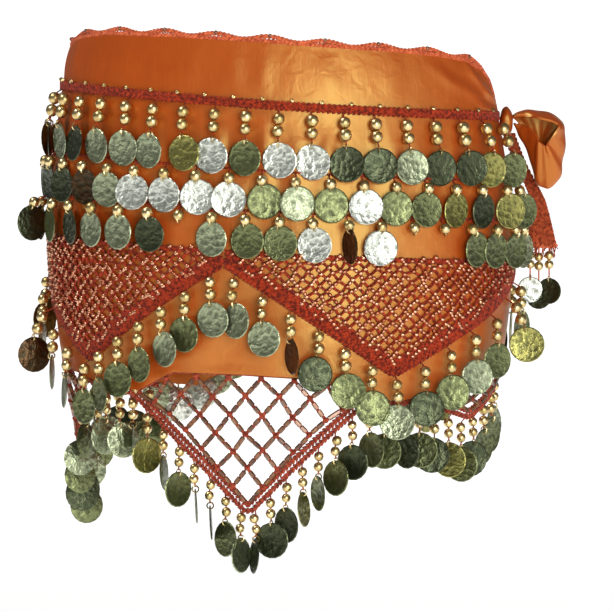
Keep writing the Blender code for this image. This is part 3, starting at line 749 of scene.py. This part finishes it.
# Small gold seed beads sewn along the top of the braid
def makeBraidBeads():
    turns = np.arange(rowStart, braidBeads["end"], braidBeads["pitch"] / aroundLength)
    centres = spot(turns, braidBeads["height"], braidBeads["out"])
    along, outward = directions(turns)
    points, faces = beadsAt(seedShape, centres, braidBeads["radius"], along, outward)
    makePiece("braidSeedBeads", points, faces, gold, ["coin_row_1"])


makeBraidBeads()

edgingSettings = {
    "scallops": 20,
    "turns": (0.268, 1.256),
    "baseHeight": 1.0,
    "firstRise": 0.6,           # the second chain over the first, between two scallops
    "rise": 2.7,                # and how much more at their peaks
    "beadHeight": 4.8,
    "out": -0.7,
    "beadOut": 0.1,
    "beadRadius": 1.5,
    "pitch": 2.9,
}


# A chain along the band's top edge, and over it a second one whose height follows a raised cosine
def makeTopEdging():
    turns = np.linspace(*edgingSettings["turns"], 600)
    share = (turns - turns[0]) / (turns[-1] - turns[0])
    hump = 0.5 + 0.5 * np.cos(2.0 * math.pi * edgingSettings["scallops"] * share)
    base = bandTop(turns) + edgingSettings["baseHeight"]
    top = base + edgingSettings["rise"] * hump + edgingSettings["firstRise"]
    lots = []
    for heights in (base, top):
        path = walk(turns, heights, edgingSettings["out"], edgingSettings["pitch"])
        lots.append(chain(path, *stitches["edging"]))
    points, faces = joined(lots)
    makePiece("topEdgingCrochet", points, faces, coralYarn, ["top_edging"])
    peaks = np.linspace(*edgingSettings["turns"], edgingSettings["scallops"] + 1)[1:-1]
    centres = spot(peaks, bandTop(peaks) + edgingSettings["beadHeight"], edgingSettings["beadOut"])
    along, outward = directions(peaks)
    points, faces = beadsAt(seedShape, centres, edgingSettings["beadRadius"], along, outward)
    makePiece("topEdgingBeads", points, faces, bugleGlass, ["top_edging"])


makeTopEdging()
print("braid and edging made")

triangleSettings = {
    "top": -100.0,
    "end": -109.0,
    "tip": -177.0,
    "blunt": 3.0,
    "cellWide": 8.4,
    "cellHigh": 8.0,
    "jitter": 0.75,
    "threadRadius": 1.05,
    "lift": 1.1,
    "seedRadius": 1.8,
    "halfwayShare": 0.30,       # how many threads carry one more bead at their middle
    "border": 9.0,              # width of the dense rows along the edge
    "inEdge": 3.0,              # the mesh begins this far above the edge
    "drops": 13,
    "reach": 0.955,             # share of each side, from the tip, that has drops
    "stripHigh": 3.0,
    "stripGap": 0.6,
    "hang": 6.8,
}
triangles = [
    {"name": "triangleFrontRight", "node": "front_right", "start": 0.976, "tip": 1.115, "end": 1.258,
     "seen": (0, "ggBdoogdogoYo")},
    {"name": "triangleFrontLeft", "node": "front_left", "start": 0.708, "tip": 0.839, "end": 0.970,
     "seen": (0, "oogBggoooogog")},
    {"name": "triangleBackLeft", "node": "back_left", "start": 0.499, "tip": 0.600, "end": 0.702},
    {"name": "triangleBackRight", "node": "back_right", "start": 0.284, "tip": 0.388, "end": 0.493},
]


# The lower edge as turns and heights: straight to the blunt tip from both sides
def triangleEdge(triangle):
    blunt = triangleSettings["blunt"] / aroundLength
    return np.array([
        (triangle["start"], triangleSettings["end"]), (triangle["tip"] - blunt, triangleSettings["tip"]),
        (triangle["tip"] + blunt, triangleSettings["tip"]), (triangle["end"], triangleSettings["end"])])


# A diamond mesh of threads: points in staggered rows, each joined to the two below it, with seed
# beads on the crossings and halfway along some threads
def makeTriangle(triangle):
    edge = triangleEdge(triangle)
    wide, high = triangleSettings["cellWide"] / 2.0, triangleSettings["cellHigh"] / 2.0
    left = int((triangle["start"] - triangle["tip"]) * aroundLength / wide) - 1
    right = int((triangle["end"] - triangle["tip"]) * aroundLength / wide) + 1
    rows = int((triangleSettings["top"] - triangleSettings["tip"]) / high) + 1
    row, column = np.meshgrid(np.arange(rows + 1), np.arange(left, right + 1), indexing="ij")
    side = column * wide + chance.normal(0.0, triangleSettings["jitter"], column.shape)
    height = triangleSettings["top"] - row * high
    height = height + chance.normal(0.0, triangleSettings["jitter"], column.shape)
    turn = triangle["tip"] + side / aroundLength
    lowest = np.interp(turn, edge[:, 0], edge[:, 1]) + triangleSettings["inEdge"]
    inside = (height > lowest) & (turn > triangle["start"]) & (turn < triangle["end"])
    inside &= (row + column) % 2 == 0
    points = spot(turn, height, triangleSettings["lift"] + clothOut(turn, height))
    along, outward = directions(turn)
    seed = triangleSettings["seedRadius"]
    lots = [beadsAt(seedShape, points[inside] + outward[inside] * 0.7, seed, along[inside], outward[inside])]
    threads = []
    for step in (-1, 1):
        below = np.roll(np.roll(points, -1, axis=0), -step, axis=1)
        both = inside & np.roll(np.roll(inside, -1, axis=0), -step, axis=1)
        both[-1, :] = False
        both[:, 0 if step < 0 else -1] = False
        ends = np.stack([points[both], below[both]], axis=1)
        threads.append(tubes(ends, triangleSettings["threadRadius"], 5))
        picked = chance.random(len(ends)) < triangleSettings["halfwayShare"]
        out = outward[both][picked]
        way = unit(ends[picked, 1] - ends[picked, 0])
        lots.append(beadsAt(seedShape, ends[picked].mean(axis=1) + out * 0.5, seed * 0.9, way, out))
    node = "beaded_triangle_" + triangle["node"]
    beadPoints, beadFaces = joined(lots)
    makePiece(triangle["name"] + "SeedBeads", beadPoints, beadFaces, lustredGlass, [node])
    inset = triangleSettings["border"] / 2.0 - 1.0
    path = walk(edge[:, 0], edge[:, 1] + inset, triangleSettings["lift"] + 0.2, 3.1)
    threads.append(chain(path, *stitches["triangleBorder"]))
    topTurns = np.linspace(triangle["start"], triangle["end"], 12)
    path = walk(topTurns, np.full(12, triangleSettings["top"] - 1.2), triangleSettings["lift"], 3.0)
    threads.append(chain(path, *stitches["strip"]))
    threadPoints, threadFaces = joined(threads)
    makePiece(triangle["name"] + "Crochet", threadPoints, threadFaces, redYarn, [node])
    low = edge - np.array([0.0, triangleSettings["stripHigh"] + triangleSettings["stripGap"]])
    shares = np.linspace(-triangleSettings["reach"], triangleSettings["reach"], triangleSettings["drops"])
    turns = np.where(shares < 0.0, triangle["tip"] + shares * (triangle["tip"] - triangle["start"]),
                     triangle["tip"] + shares * (triangle["end"] - triangle["tip"]))
    path = walk(low[:, 0], low[:, 1] + 1.4, 1.3, 3.0)
    makeDrops({
        "name": triangle["name"] + "Fringe", "node": "triangle_fringe_" + triangle["node"],
        "turns": turns, "roots": np.interp(turns, low[:, 0], low[:, 1]), "rootOut": 1.6,
        "hang": triangleSettings["hang"], "kind": "edgeTwoBeads", "swing": 16.0, "yawSpread": 9.0,
        "onPanel": True, "yarn": redYarn, "seen": triangle.get("seen"),
        "strip": chain(path, *stitches["strip"])})


for triangle in triangles:
    makeTriangle(triangle)
print("beaded triangles made")

netSettings = {
    "knot": 1.6,
    "jitter": 0.9,
    "depthIn": -0.9,            # the threads' middle, inside the panel's face
    "bugleRadius": 1.7,
    "bugleHalf": 2.5,
    "threadRadius": 1.25,
    "knotRadius": 2.1,
    "hemCordRadius": 0.6,
    "stripDrop": 2.4,
    "stripHigh": 3.6,
    "corner": 2.0,              # past the net's corner the strip rises to the hem, which it
    "beyond": 8.0,              # reaches at this distance
    "blunt": 3.0,
    "hang": -3.5,
    "swing": 52.0,
}
nets = [
    {"name": "netFront", "node": "front", "centre": 0.988, "start": 0.8570, "end": 1.1185,
     "meshes": 7, "spread": 0.0985, "tip": -271.0, "drops": 18, "seen": (0, "goYOOODoGdddYoodoo")},
    {"name": "netLeft", "node": "left", "centre": 0.750, "start": 0.6257, "end": 0.8555,
     "meshes": 5, "spread": 0.070, "tip": -244.0, "drops": 14, "seen": (0, "oodgoGoodogogg")},
    {"name": "netRight", "node": "right", "centre": 1.200, "start": 1.1200, "end": 1.2700,
     "meshes": 4, "spread": 0.050, "tip": -205.0, "drops": 9, "seen": (0, "dodYOdoog")},
]


# Turn and height of the crossing p strands up to one side and q up to the other
def crossing(net, p, q):
    turn = net["centre"] + (p - q) * net["spread"] / net["meshes"]
    top = hemHeight(turn) - form["seam"] - netSettings["knot"]
    return turn, net["tip"] + (top - net["tip"]) * (p + q) / net["meshes"]


# The top of the fringe's strip: under the net's edge, and under the hem beyond the net
def netEdge(net):
    blunt = netSettings["blunt"] / aroundLength
    drop = netSettings["stripDrop"]
    edge = [(net["centre"] - blunt, net["tip"] - drop), (net["centre"] + blunt, net["tip"] - drop)]
    for sign in (-1.0, 1.0):
        corner = net["centre"] + sign * (net["spread"] + netSettings["corner"] / aroundLength)
        edge.append((corner, hemHeight(corner) - form["seam"] - netSettings["knot"] - drop))
        outer = net["centre"] + sign * (net["spread"] + netSettings["beyond"] / aroundLength)
        edge.append((outer, hemHeight(outer) - form["seam"]))
    for turn in (net["start"], net["end"]):
        edge.append((turn, hemHeight(turn) - form["seam"]))
    reach = net["spread"] + netSettings["beyond"] / aroundLength
    for turn, height in hemTable:
        if net["start"] < turn < net["end"] and abs(turn - net["centre"]) > reach:
            edge.append((turn, height - form["seam"]))
    return np.array(sorted(edge))


# Strands between neighbouring crossings, each with two bugle beads, a knot on every crossing, and
# dense stitches along the two lower edges and the top
def makeNet(net):
    meshes = net["meshes"]
    p, q = np.meshgrid(np.arange(meshes + 1), np.arange(meshes + 1), indexing="ij")
    held = p + q <= meshes
    turn, height = crossing(net, p, q)
    free = (p > 0) & (q > 0) & (p + q < meshes)
    turn = turn + free * chance.normal(0.0, netSettings["jitter"], p.shape) / aroundLength
    height = height + free * chance.normal(0.0, netSettings["jitter"], p.shape)
    points = spot(turn, height, netSettings["depthIn"])
    along, outward = directions(turn)
    pairs = []
    for low, high in ((np.s_[:-1], np.s_[1:]), (np.s_[:, :-1], np.s_[:, 1:])):
        both = held[low] & held[high]
        pairs.append((points[low][both], points[high][both], outward[low][both]))
    starts, ends, outs = [np.concatenate(group) for group in zip(*pairs)]
    sag = -chance.uniform(0.2, 0.9, (len(starts), 1)) * np.array([0.0, 0.0, 1.0])
    middles = (starts + ends) / 2.0 + sag
    strands = tubes(np.stack([starts, middles, ends], axis=1), netSettings["threadRadius"], 5)
    way = unit(ends - starts)
    across = unit(np.cross(outs, way))
    axes = np.stack([across * netSettings["bugleRadius"], np.cross(way, across) * netSettings["bugleRadius"],
                     way * netSettings["bugleHalf"]], axis=1)
    bugles = []
    for share in (0.34, 0.68):
        spots = starts + (ends - starts) * share + sag * (1.0 - abs(2.0 * share - 1.0))
        bugles.append(copies(bugleShape, spots, axes))
    node = "net_" + net["node"]
    buglePoints, bugleFaces = joined(bugles)
    makePiece(net["name"] + "Bugles", buglePoints, bugleFaces, bugleGlass, [node], sharp=45.0)
    knots = beadsAt(ballShape, points[held], netSettings["knotRadius"], along[held], outward[held])
    edge = np.array([crossing(net, meshes, 0), crossing(net, 0, 0), crossing(net, 0, meshes)])[::-1]
    path = walk(edge[:, 0], edge[:, 1] - 0.4, netSettings["depthIn"], 3.0)
    border = chain(path, *stitches["netBorder"])
    hem = np.linspace(net["centre"] - net["spread"], net["centre"] + net["spread"], 60)
    hemPath = spot(hem, hemHeight(hem) - 0.3, netSettings["depthIn"])
    hemCord = tubes(hemPath[None], netSettings["hemCordRadius"], 5)
    netPoints, netFaces = joined([strands, knots, border, hemCord])
    makePiece(net["name"] + "Crochet", netPoints, netFaces, brickYarn, [node])
    edge = netEdge(net)
    low = edge - np.array([0.0, netSettings["stripHigh"]])
    turns = net["start"] + (net["end"] - net["start"]) / net["drops"] * (np.arange(net["drops"]) + 0.5)
    path = walk(low[:, 0], low[:, 1] + 1.8, netSettings["depthIn"], 3.0)
    makeDrops({
        "name": net["name"] + "Fringe", "node": "net_fringe_" + net["node"], "turns": turns,
        "roots": np.interp(turns, low[:, 0], low[:, 1]), "rootOut": netSettings["depthIn"],
        "hang": netSettings["hang"], "kind": "netTwoBeads", "swing": netSettings["swing"],
        "yawSpread": 22.0, "onPanel": False, "yarn": brickYarn, "seen": net["seen"],
        "strip": chain(path, *stitches["netStrip"])})


for net in nets:
    makeNet(net)
print("nets made")

knotTurn = 0.262
knotAlong, knotOutward = directions(np.array(knotTurn))
knotUp = np.array([0.0, 0.0, 1.0])
knotSeat = spot(1.0 + knotTurn, 0.0, 0.0)


# A point in the knot's own frame: along the cloth towards the back, out from it, and up
def knotPoint(along, out, up):
    along, out, up = [np.asarray(value, float)[..., None] for value in (along, out, up)]
    return knotSeat + knotAlong * along + knotOutward * out + knotUp * up


# A smooth curve through a table's rows: the Catmull-Rom cubic between each pair, count points in all
def smoothThrough(table, count):
    table = np.asarray(table, float)
    padded = np.concatenate([2 * table[:1] - table[1:2], table, 2 * table[-1:] - table[-2:-1]])
    place = np.linspace(0.0, len(table) - 1.0, count)
    i = np.minimum(place.astype(int), len(table) - 2)
    t = (place - i)[:, None]
    a, b, c, d = (padded[i + k] for k in range(4))
    return 0.5 * (2 * b + (c - a) * t + (2 * a - 5 * b + 4 * c - d) * t ** 2
                  + (3 * b - a - 3 * c + d) * t ** 3)


knotSettings = {
    "long": 25.0, "deep": 9.4, "high": 21.0, "out": 5.5, "up": -4.0, "blunt": 0.6,
    "folds": 5, "foldDepth": 0.09,
}
loopSettings = {
    "places": [         # out and up of the fullest part, then out, up and along of the mouth's edge
        (9.85, -1.0, 13.0, -1.5, -4.0), (18.0, 3.2, 21.0, -0.5, -10.0), (30.0, 1.6, 31.0, -2.0, -13.0),
        (42.5, -3.0, 41.0, -5.0, -11.0), (44.5, -13.0, 40.0, -10.5, -14.0),
        (44.0, -28.0, 35.5, -17.5, -16.0), (41.0, -40.0, 32.5, -20.5, -17.0),
        (33.5, -47.5, 30.5, -20.5, -17.0), (27.0, -44.0, 27.5, -17.5, -17.0),
        (22.5, -32.0, 24.0, -13.0, -16.0), (16.5, -16.5, 20.0, -8.0, -12.0),
        (11.0, -6.0, 14.5, -5.0, -5.0)],
    "middle": (29.0, -21.0),                            # its gathered back, out and up
    "depths": [(0.02, 8.6), (0.96, 4.0), (1.0, -5.0)],  # share of the way out from there, along
    "steps": 120, "across": 26, "foldDepth": 0.8,
    "faceLong": 34.0,                                   # of the cloth from the back to the mouth
}
tailSettings = {
    "sections": [       # height, distance out, along, width
        (-14.1, 8.0, 6.0, 6.0), (-32.0, 15.0, 14.0, 6.0), (-50.0, 24.0, 15.0, 6.5),
        (-60.0, 27.5, 15.0, 9.0), (-74.0, 29.0, 14.5, 14.0), (-87.0, 29.5, 14.0, 19.0)],
    "wall": 2.5,
    "drops": [          # distance from the tail's middle, along, down, turn in degrees, patina with painted reflection
        (-7.5, -2.6, 0.0, -14.0, "w"), (-1.5, 2.8, 4.5, 12.0, "d"), (5.5, -0.4, 1.0, 24.0, "d")],
    "coinRadius": 9.0,
    "ringRadius": 2.0,
    "stripHigh": 3.0,
    "strands": 7,
    "frays": 26,
    "frayRadius": 0.38,
}


# A flattened ball whose surface rises and falls in folds that run slantwise round it
def makeKnot():
    fromEnd = np.linspace(0.02, math.pi - 0.02, 40)
    along, around = np.meshgrid(fromEnd, np.linspace(0.0, 2.0 * math.pi, 57)[:-1], indexing="ij")
    size = np.sin(along) ** knotSettings["blunt"]
    slant = knotSettings["folds"] * around + 2.6 * np.cos(along) + 0.8 * np.sin(2.0 * around)
    folds = 1.0 + knotSettings["foldDepth"] * (np.abs(np.sin(slant / 2.0)) - 0.6)
    pinch = 1.0 - 0.10 * np.exp(-(np.cos(along) / 0.22) ** 2)
    reach = size * folds * pinch
    points = knotPoint(-knotSettings["long"] / 2.0 * np.cos(along),
                       knotSettings["out"] + knotSettings["deep"] / 2.0 * reach * np.cos(around),
                       knotSettings["up"] + knotSettings["high"] / 2.0 * reach * np.sin(around))
    uv = np.stack([along * 12.0, around * 10.0], axis=-1).reshape(-1, 2)
    return makePiece("knotSatin", points.reshape(-1, 3), roundFaces(*along.shape), satin, ["knot"],
                     uv=uv, sharp=70.0)


# A pouch of cloth: a smooth curve round it, and at each place of that a smooth profile from the
# gathered back over the fullest part to the edge of the mouth, with soft folds from back to mouth
def makeLoop():
    steps, across = loopSettings["steps"], loopSettings["across"]
    out, up, mouthOut, mouthUp, mouthAlong = smoothThrough(loopSettings["places"], steps).T
    middleOut, middleUp = loopSettings["middle"]
    profile = [knotPoint(along + 0.0 * out, middleOut + (out - middleOut) * share,
                         middleUp + (up - middleUp) * share)
               for share, along in loopSettings["depths"]]
    profile.append(knotPoint(mouthAlong, mouthOut, mouthUp))
    surface = smoothThrough(np.stack(profile).reshape(4, -1), across).reshape(across, steps, 3)
    normal = unit(np.cross(np.gradient(surface, axis=0), np.gradient(surface, axis=1)))
    over = np.linspace(0.0, 1.0, across)[:, None, None]
    walked = np.linspace(0.0, 1.0, steps)[None, :, None]
    ends = smoothStep(walked / 0.10) * smoothStep((1.0 - walked) / 0.10)
    ripple = (np.sin(2.0 * math.pi * (5.3 * walked + 0.22 * over) + 0.9)
              + 0.5 * np.sin(2.0 * math.pi * (9.7 * walked - 0.30 * over) + 2.0))
    surface = surface + normal * loopSettings["foldDepth"] * ripple * (1.0 - 0.4 * over) * ends
    points, faces = clothWall(surface, form["wall"])
    run = np.concatenate([[0.0], np.cumsum(np.linalg.norm(np.diff(profile[2], axis=0), axis=1))])
    rise = loopSettings["faceLong"] * over[:, :, 0]
    flat = np.stack(np.broadcast_arrays(run[None, :], rise), axis=-1).reshape(-1, 2)
    return makePiece("knotLoopSatin", points, faces, satin, ["knot_loop"],
                     uv=np.concatenate([flat, flat]), sharp=70.0)


# Rows of stitches down a wedge that widens to its end, with loose ends of yarn under it
def makeTail():
    up, out, along, wide = smoothThrough(tailSettings["sections"], 30).T
    lots = []
    for face in (-1.0, 1.0):
        faceAlong = along + face * (tailSettings["wall"] / 2.0 - 0.5)
        for strand in np.linspace(-0.5, 0.5, tailSettings["strands"]):
            centres = knotPoint(faceAlong, out + strand * wide * 0.9, up)
            tangent = unit(np.gradient(centres, axis=0))
            outward = np.broadcast_to(knotAlong * face, centres.shape)
            side = unit(np.cross(outward, tangent))
            lots.append(chain((centres, tangent, side, outward), *stitches["tailStrand"]))
    count = tailSettings["frays"]
    end = tailSettings["sections"][-1]
    across = chance.uniform(-0.5, 0.55, count) * end[3]
    steps = np.linspace(0.0, 1.0, 6)
    long = chance.uniform(5.0, 13.0, count)[:, None]
    bend = chance.normal(0.0, 3.2, (count, 1))
    alongBend = chance.normal(0.0, 2.4, (count, 1))
    frayUp = end[0] + 1.5 - long * steps
    frayOut = end[1] + across[:, None] + bend * steps ** 2 + 0.15 * across[:, None] * steps
    frayPaths = knotPoint(end[2] + alongBend * steps ** 2, frayOut, frayUp)
    lots.append(tubes(frayPaths, tailSettings["frayRadius"], 4))
    points, faces = joined(lots)
    makePiece("tieTailCrochet", points, faces, rustYarn, ["tie_tail"])


# Three drops on the tail's end, their coins across the line of the hip
def makeTailFringe():
    depths, coinDepth, beadRadius = dropSettings["kinds"]["tailTwoBeads"]
    low = tailSettings["sections"][-1][0] - tailSettings["stripHigh"] - form["seam"]
    endOut, endAlong = tailSettings["sections"][-1][1:3]
    spots, depthsAlong, lower, degrees = np.array([drop[:4] for drop in tailSettings["drops"]]).T
    count = len(spots)
    wide = np.broadcast_to(knotOutward, (count, 3))
    face = np.broadcast_to(-knotAlong, (count, 3))
    up = np.broadcast_to(knotUp, (count, 3))
    lots = []
    for depth in depths:
        middles = knotPoint(endAlong + depthsAlong * 0.5, endOut + spots, low - depth - lower * 0.3)
        lots.append(beadsAt(ballShape, middles, beadRadius, up, face))
    radius = tailSettings["coinRadius"]
    yaw = np.radians(degrees)[:, None]
    hole = knotPoint(endAlong + depthsAlong, endOut + spots,
                     low - coinDepth + radius - dropSettings["holeIn"] - lower)
    across = wide * np.cos(yaw) + face * np.sin(yaw)
    front = face * np.cos(yaw) - wide * np.sin(yaw)
    centres = hole - up * (radius - dropSettings["holeIn"])
    axes = np.stack([across * radius, up * radius, front * dropSettings["coinHalfThick"]], axis=1)
    points, faces = copies(coinShape, centres, axes)
    # each coin's patina colour; the white one also a painted reflection of the lamp, the dark ones of the
    # dark room
    colours = np.array([linear(patinaAndReflectionColours[drop[4]]) for drop in tailSettings["drops"]])
    makePiece("tailFringeCoins", points, faces, coinBrass, ["tail_fringe"],
              patinaAndReflection=np.repeat(colours, len(coinShape[0]), axis=0), sharp=30.0)
    ringAxes = np.stack([across, front, up], axis=1) * tailSettings["ringRadius"]
    lots.append(copies(jumpRing, hole + up * dropSettings["ringUp"], ringAxes))
    points, faces = joined(lots)
    makePiece("tailFringeBeads", points, faces, gold, ["tail_fringe"])
    top = knotPoint(endAlong + 0.0 * spots, endOut + spots, low + 3.0 + 0.0 * spots)
    threads = tubes(np.stack([top, (top + hole) / 2.0, hole + up * 2.6], axis=1),
                    dropSettings["threadRadius"], 5)
    line = np.linspace(-0.5, 0.5, 9) * tailSettings["sections"][-1][3]
    centres = knotPoint(endAlong + 0.0 * line, endOut + line, low + 1.5 + 0.0 * line)
    outward = np.broadcast_to(-knotAlong, centres.shape)
    tangent = unit(np.gradient(centres, axis=0))
    strip = chain((centres, tangent, np.cross(outward, tangent), outward), *stitches["tailStrip"])
    points, faces = joined([threads, strip])
    makePiece("tailFringeCrochet", points, faces, coralYarn, ["tail_fringe"])


knot = makeKnot()
knotLoop = makeLoop()
makeTail()
makeTailFringe()
print("knot, loop and tail made")

studio = {
    "floorBelow": 0.24,         # metres from the lowest coin down to the floor
    "floorHalf": 5.0,
    "wallHalf": 2.6,
    "wallBack": 10.5,           # further off than the camera, so that it hides nothing from behind
    "wallHigh": 4.0,
    "bendRadius": 1.2,
    "lamps": [          # name, azimuth, elevation, distance, width, height, watts
        ("frontSoftbox", 24.0, 4.0, 2.8, 1.1, 1.8, 62.0),
        ("leftLamp", -66.0, 56.0, 2.4, 0.45, 0.45, 28.0),
        ("rightSoftbox", 60.0, 8.0, 2.8, 1.0, 1.8, 7.0)],
    "worldStrength": 0.14,
    "azimuth": 7.0,
    "elevation": 1.0,
    "distance": 9.0,
    "across": 0.019,            # middle of the view: to the right of the origin, and above it
    "above": -0.1406,
    "frameWide": 0.418,         # what the picture's width spans at the middle of the scarf
    "sensor": 36.0,
}


# A floor that runs up into a back wall along a quarter circle
def makeBackdrop():
    radius = studio["bendRadius"]
    floor = float(cadBox[0][2]) - studio["floorBelow"]
    bend = np.linspace(0.0, math.pi / 2.0, 14)
    y = np.concatenate([[-studio["floorHalf"]], studio["wallBack"] - radius + radius * np.sin(bend),
                        [studio["wallBack"]]])
    z = np.concatenate([[0.0], radius - radius * np.cos(bend), [studio["wallHigh"]]]) + floor
    half = np.where(z > floor + 0.01, studio["wallHalf"], studio["floorHalf"])[:, None]
    x = half * np.array([-1.0, 1.0])
    grid = np.stack(np.broadcast_arrays(x, y[:, None], z[:, None]), axis=-1)
    row = np.arange(len(y) - 1)
    quads = np.stack([2 * row, 2 * row + 1, 2 * row + 3, 2 * row + 2], axis=-1)
    mesh = bpy.data.meshes.new("backdrop")
    mesh.from_pydata(grid.reshape(-1, 3).tolist(), [], quads.tolist())
    mesh.shade_smooth()
    paper, _, _ = startFinish("backdropPaper", {
        "Base Color": linear("#FBFBFA"), "Roughness": 0.9, "Specular IOR Level": 0.0,
        "Emission Color": linear("#FFFFFF"), "Emission Strength": 0.8})
    mesh.materials.append(paper)
    backdrop = bpy.data.objects.new("backdrop", mesh)
    bpy.context.collection.objects.link(backdrop)


# The direction from the scarf to a lamp or the camera, from its azimuth and elevation in degrees
def towards(azimuth, elevation):
    a, e = math.radians(azimuth), math.radians(elevation)
    return Vector((math.sin(a) * math.cos(e), -math.cos(a) * math.cos(e), math.sin(e)))


# A softbox that points at the middle of the scarf
def addLamp(name, azimuth, elevation, distance, wide, high, power):
    lamp = bpy.data.lights.new(name, "AREA")
    lamp.shape = "RECTANGLE"
    lamp.size = wide
    lamp.size_y = high
    lamp.energy = power
    holder = bpy.data.objects.new(name, lamp)
    bpy.context.collection.objects.link(holder)
    way = towards(azimuth, elevation)
    holder.location = Vector((0.0, 0.0, studio["above"])) + way * distance
    holder.rotation_euler = (-way).to_track_quat("-Z", "Y").to_euler()


# Backdrop, lamps, world, and a camera far off with a long lens
def makeStudio():
    makeBackdrop()
    for lampRow in studio["lamps"]:
        addLamp(*lampRow)
    world = bpy.data.worlds.new("studio")
    world.use_nodes = True
    sky = world.node_tree.nodes["Background"]
    sky.inputs["Color"].default_value = linear("#F4F4F2")
    sky.inputs["Strength"].default_value = studio["worldStrength"]
    bpy.context.scene.world = world
    bpy.context.scene.view_settings.view_transform = "Standard"
    way = towards(studio["azimuth"], studio["elevation"])
    sideways = Vector((-way.y, way.x, 0.0)).normalized()
    middle = sideways * studio["across"] + Vector((0.0, 0.0, studio["above"]))
    lens = bpy.data.cameras.new("camera")
    lens.sensor_width = studio["sensor"]
    lens.lens = studio["sensor"] * studio["distance"] / studio["frameWide"]
    camera = bpy.data.objects.new("camera", lens)
    bpy.context.collection.objects.link(camera)
    camera.location = middle + way * studio["distance"]
    camera.rotation_euler = (-way).to_track_quat("-Z", "Y").to_euler()
    bpy.context.scene.camera = camera


makeStudio()
print("studio made")
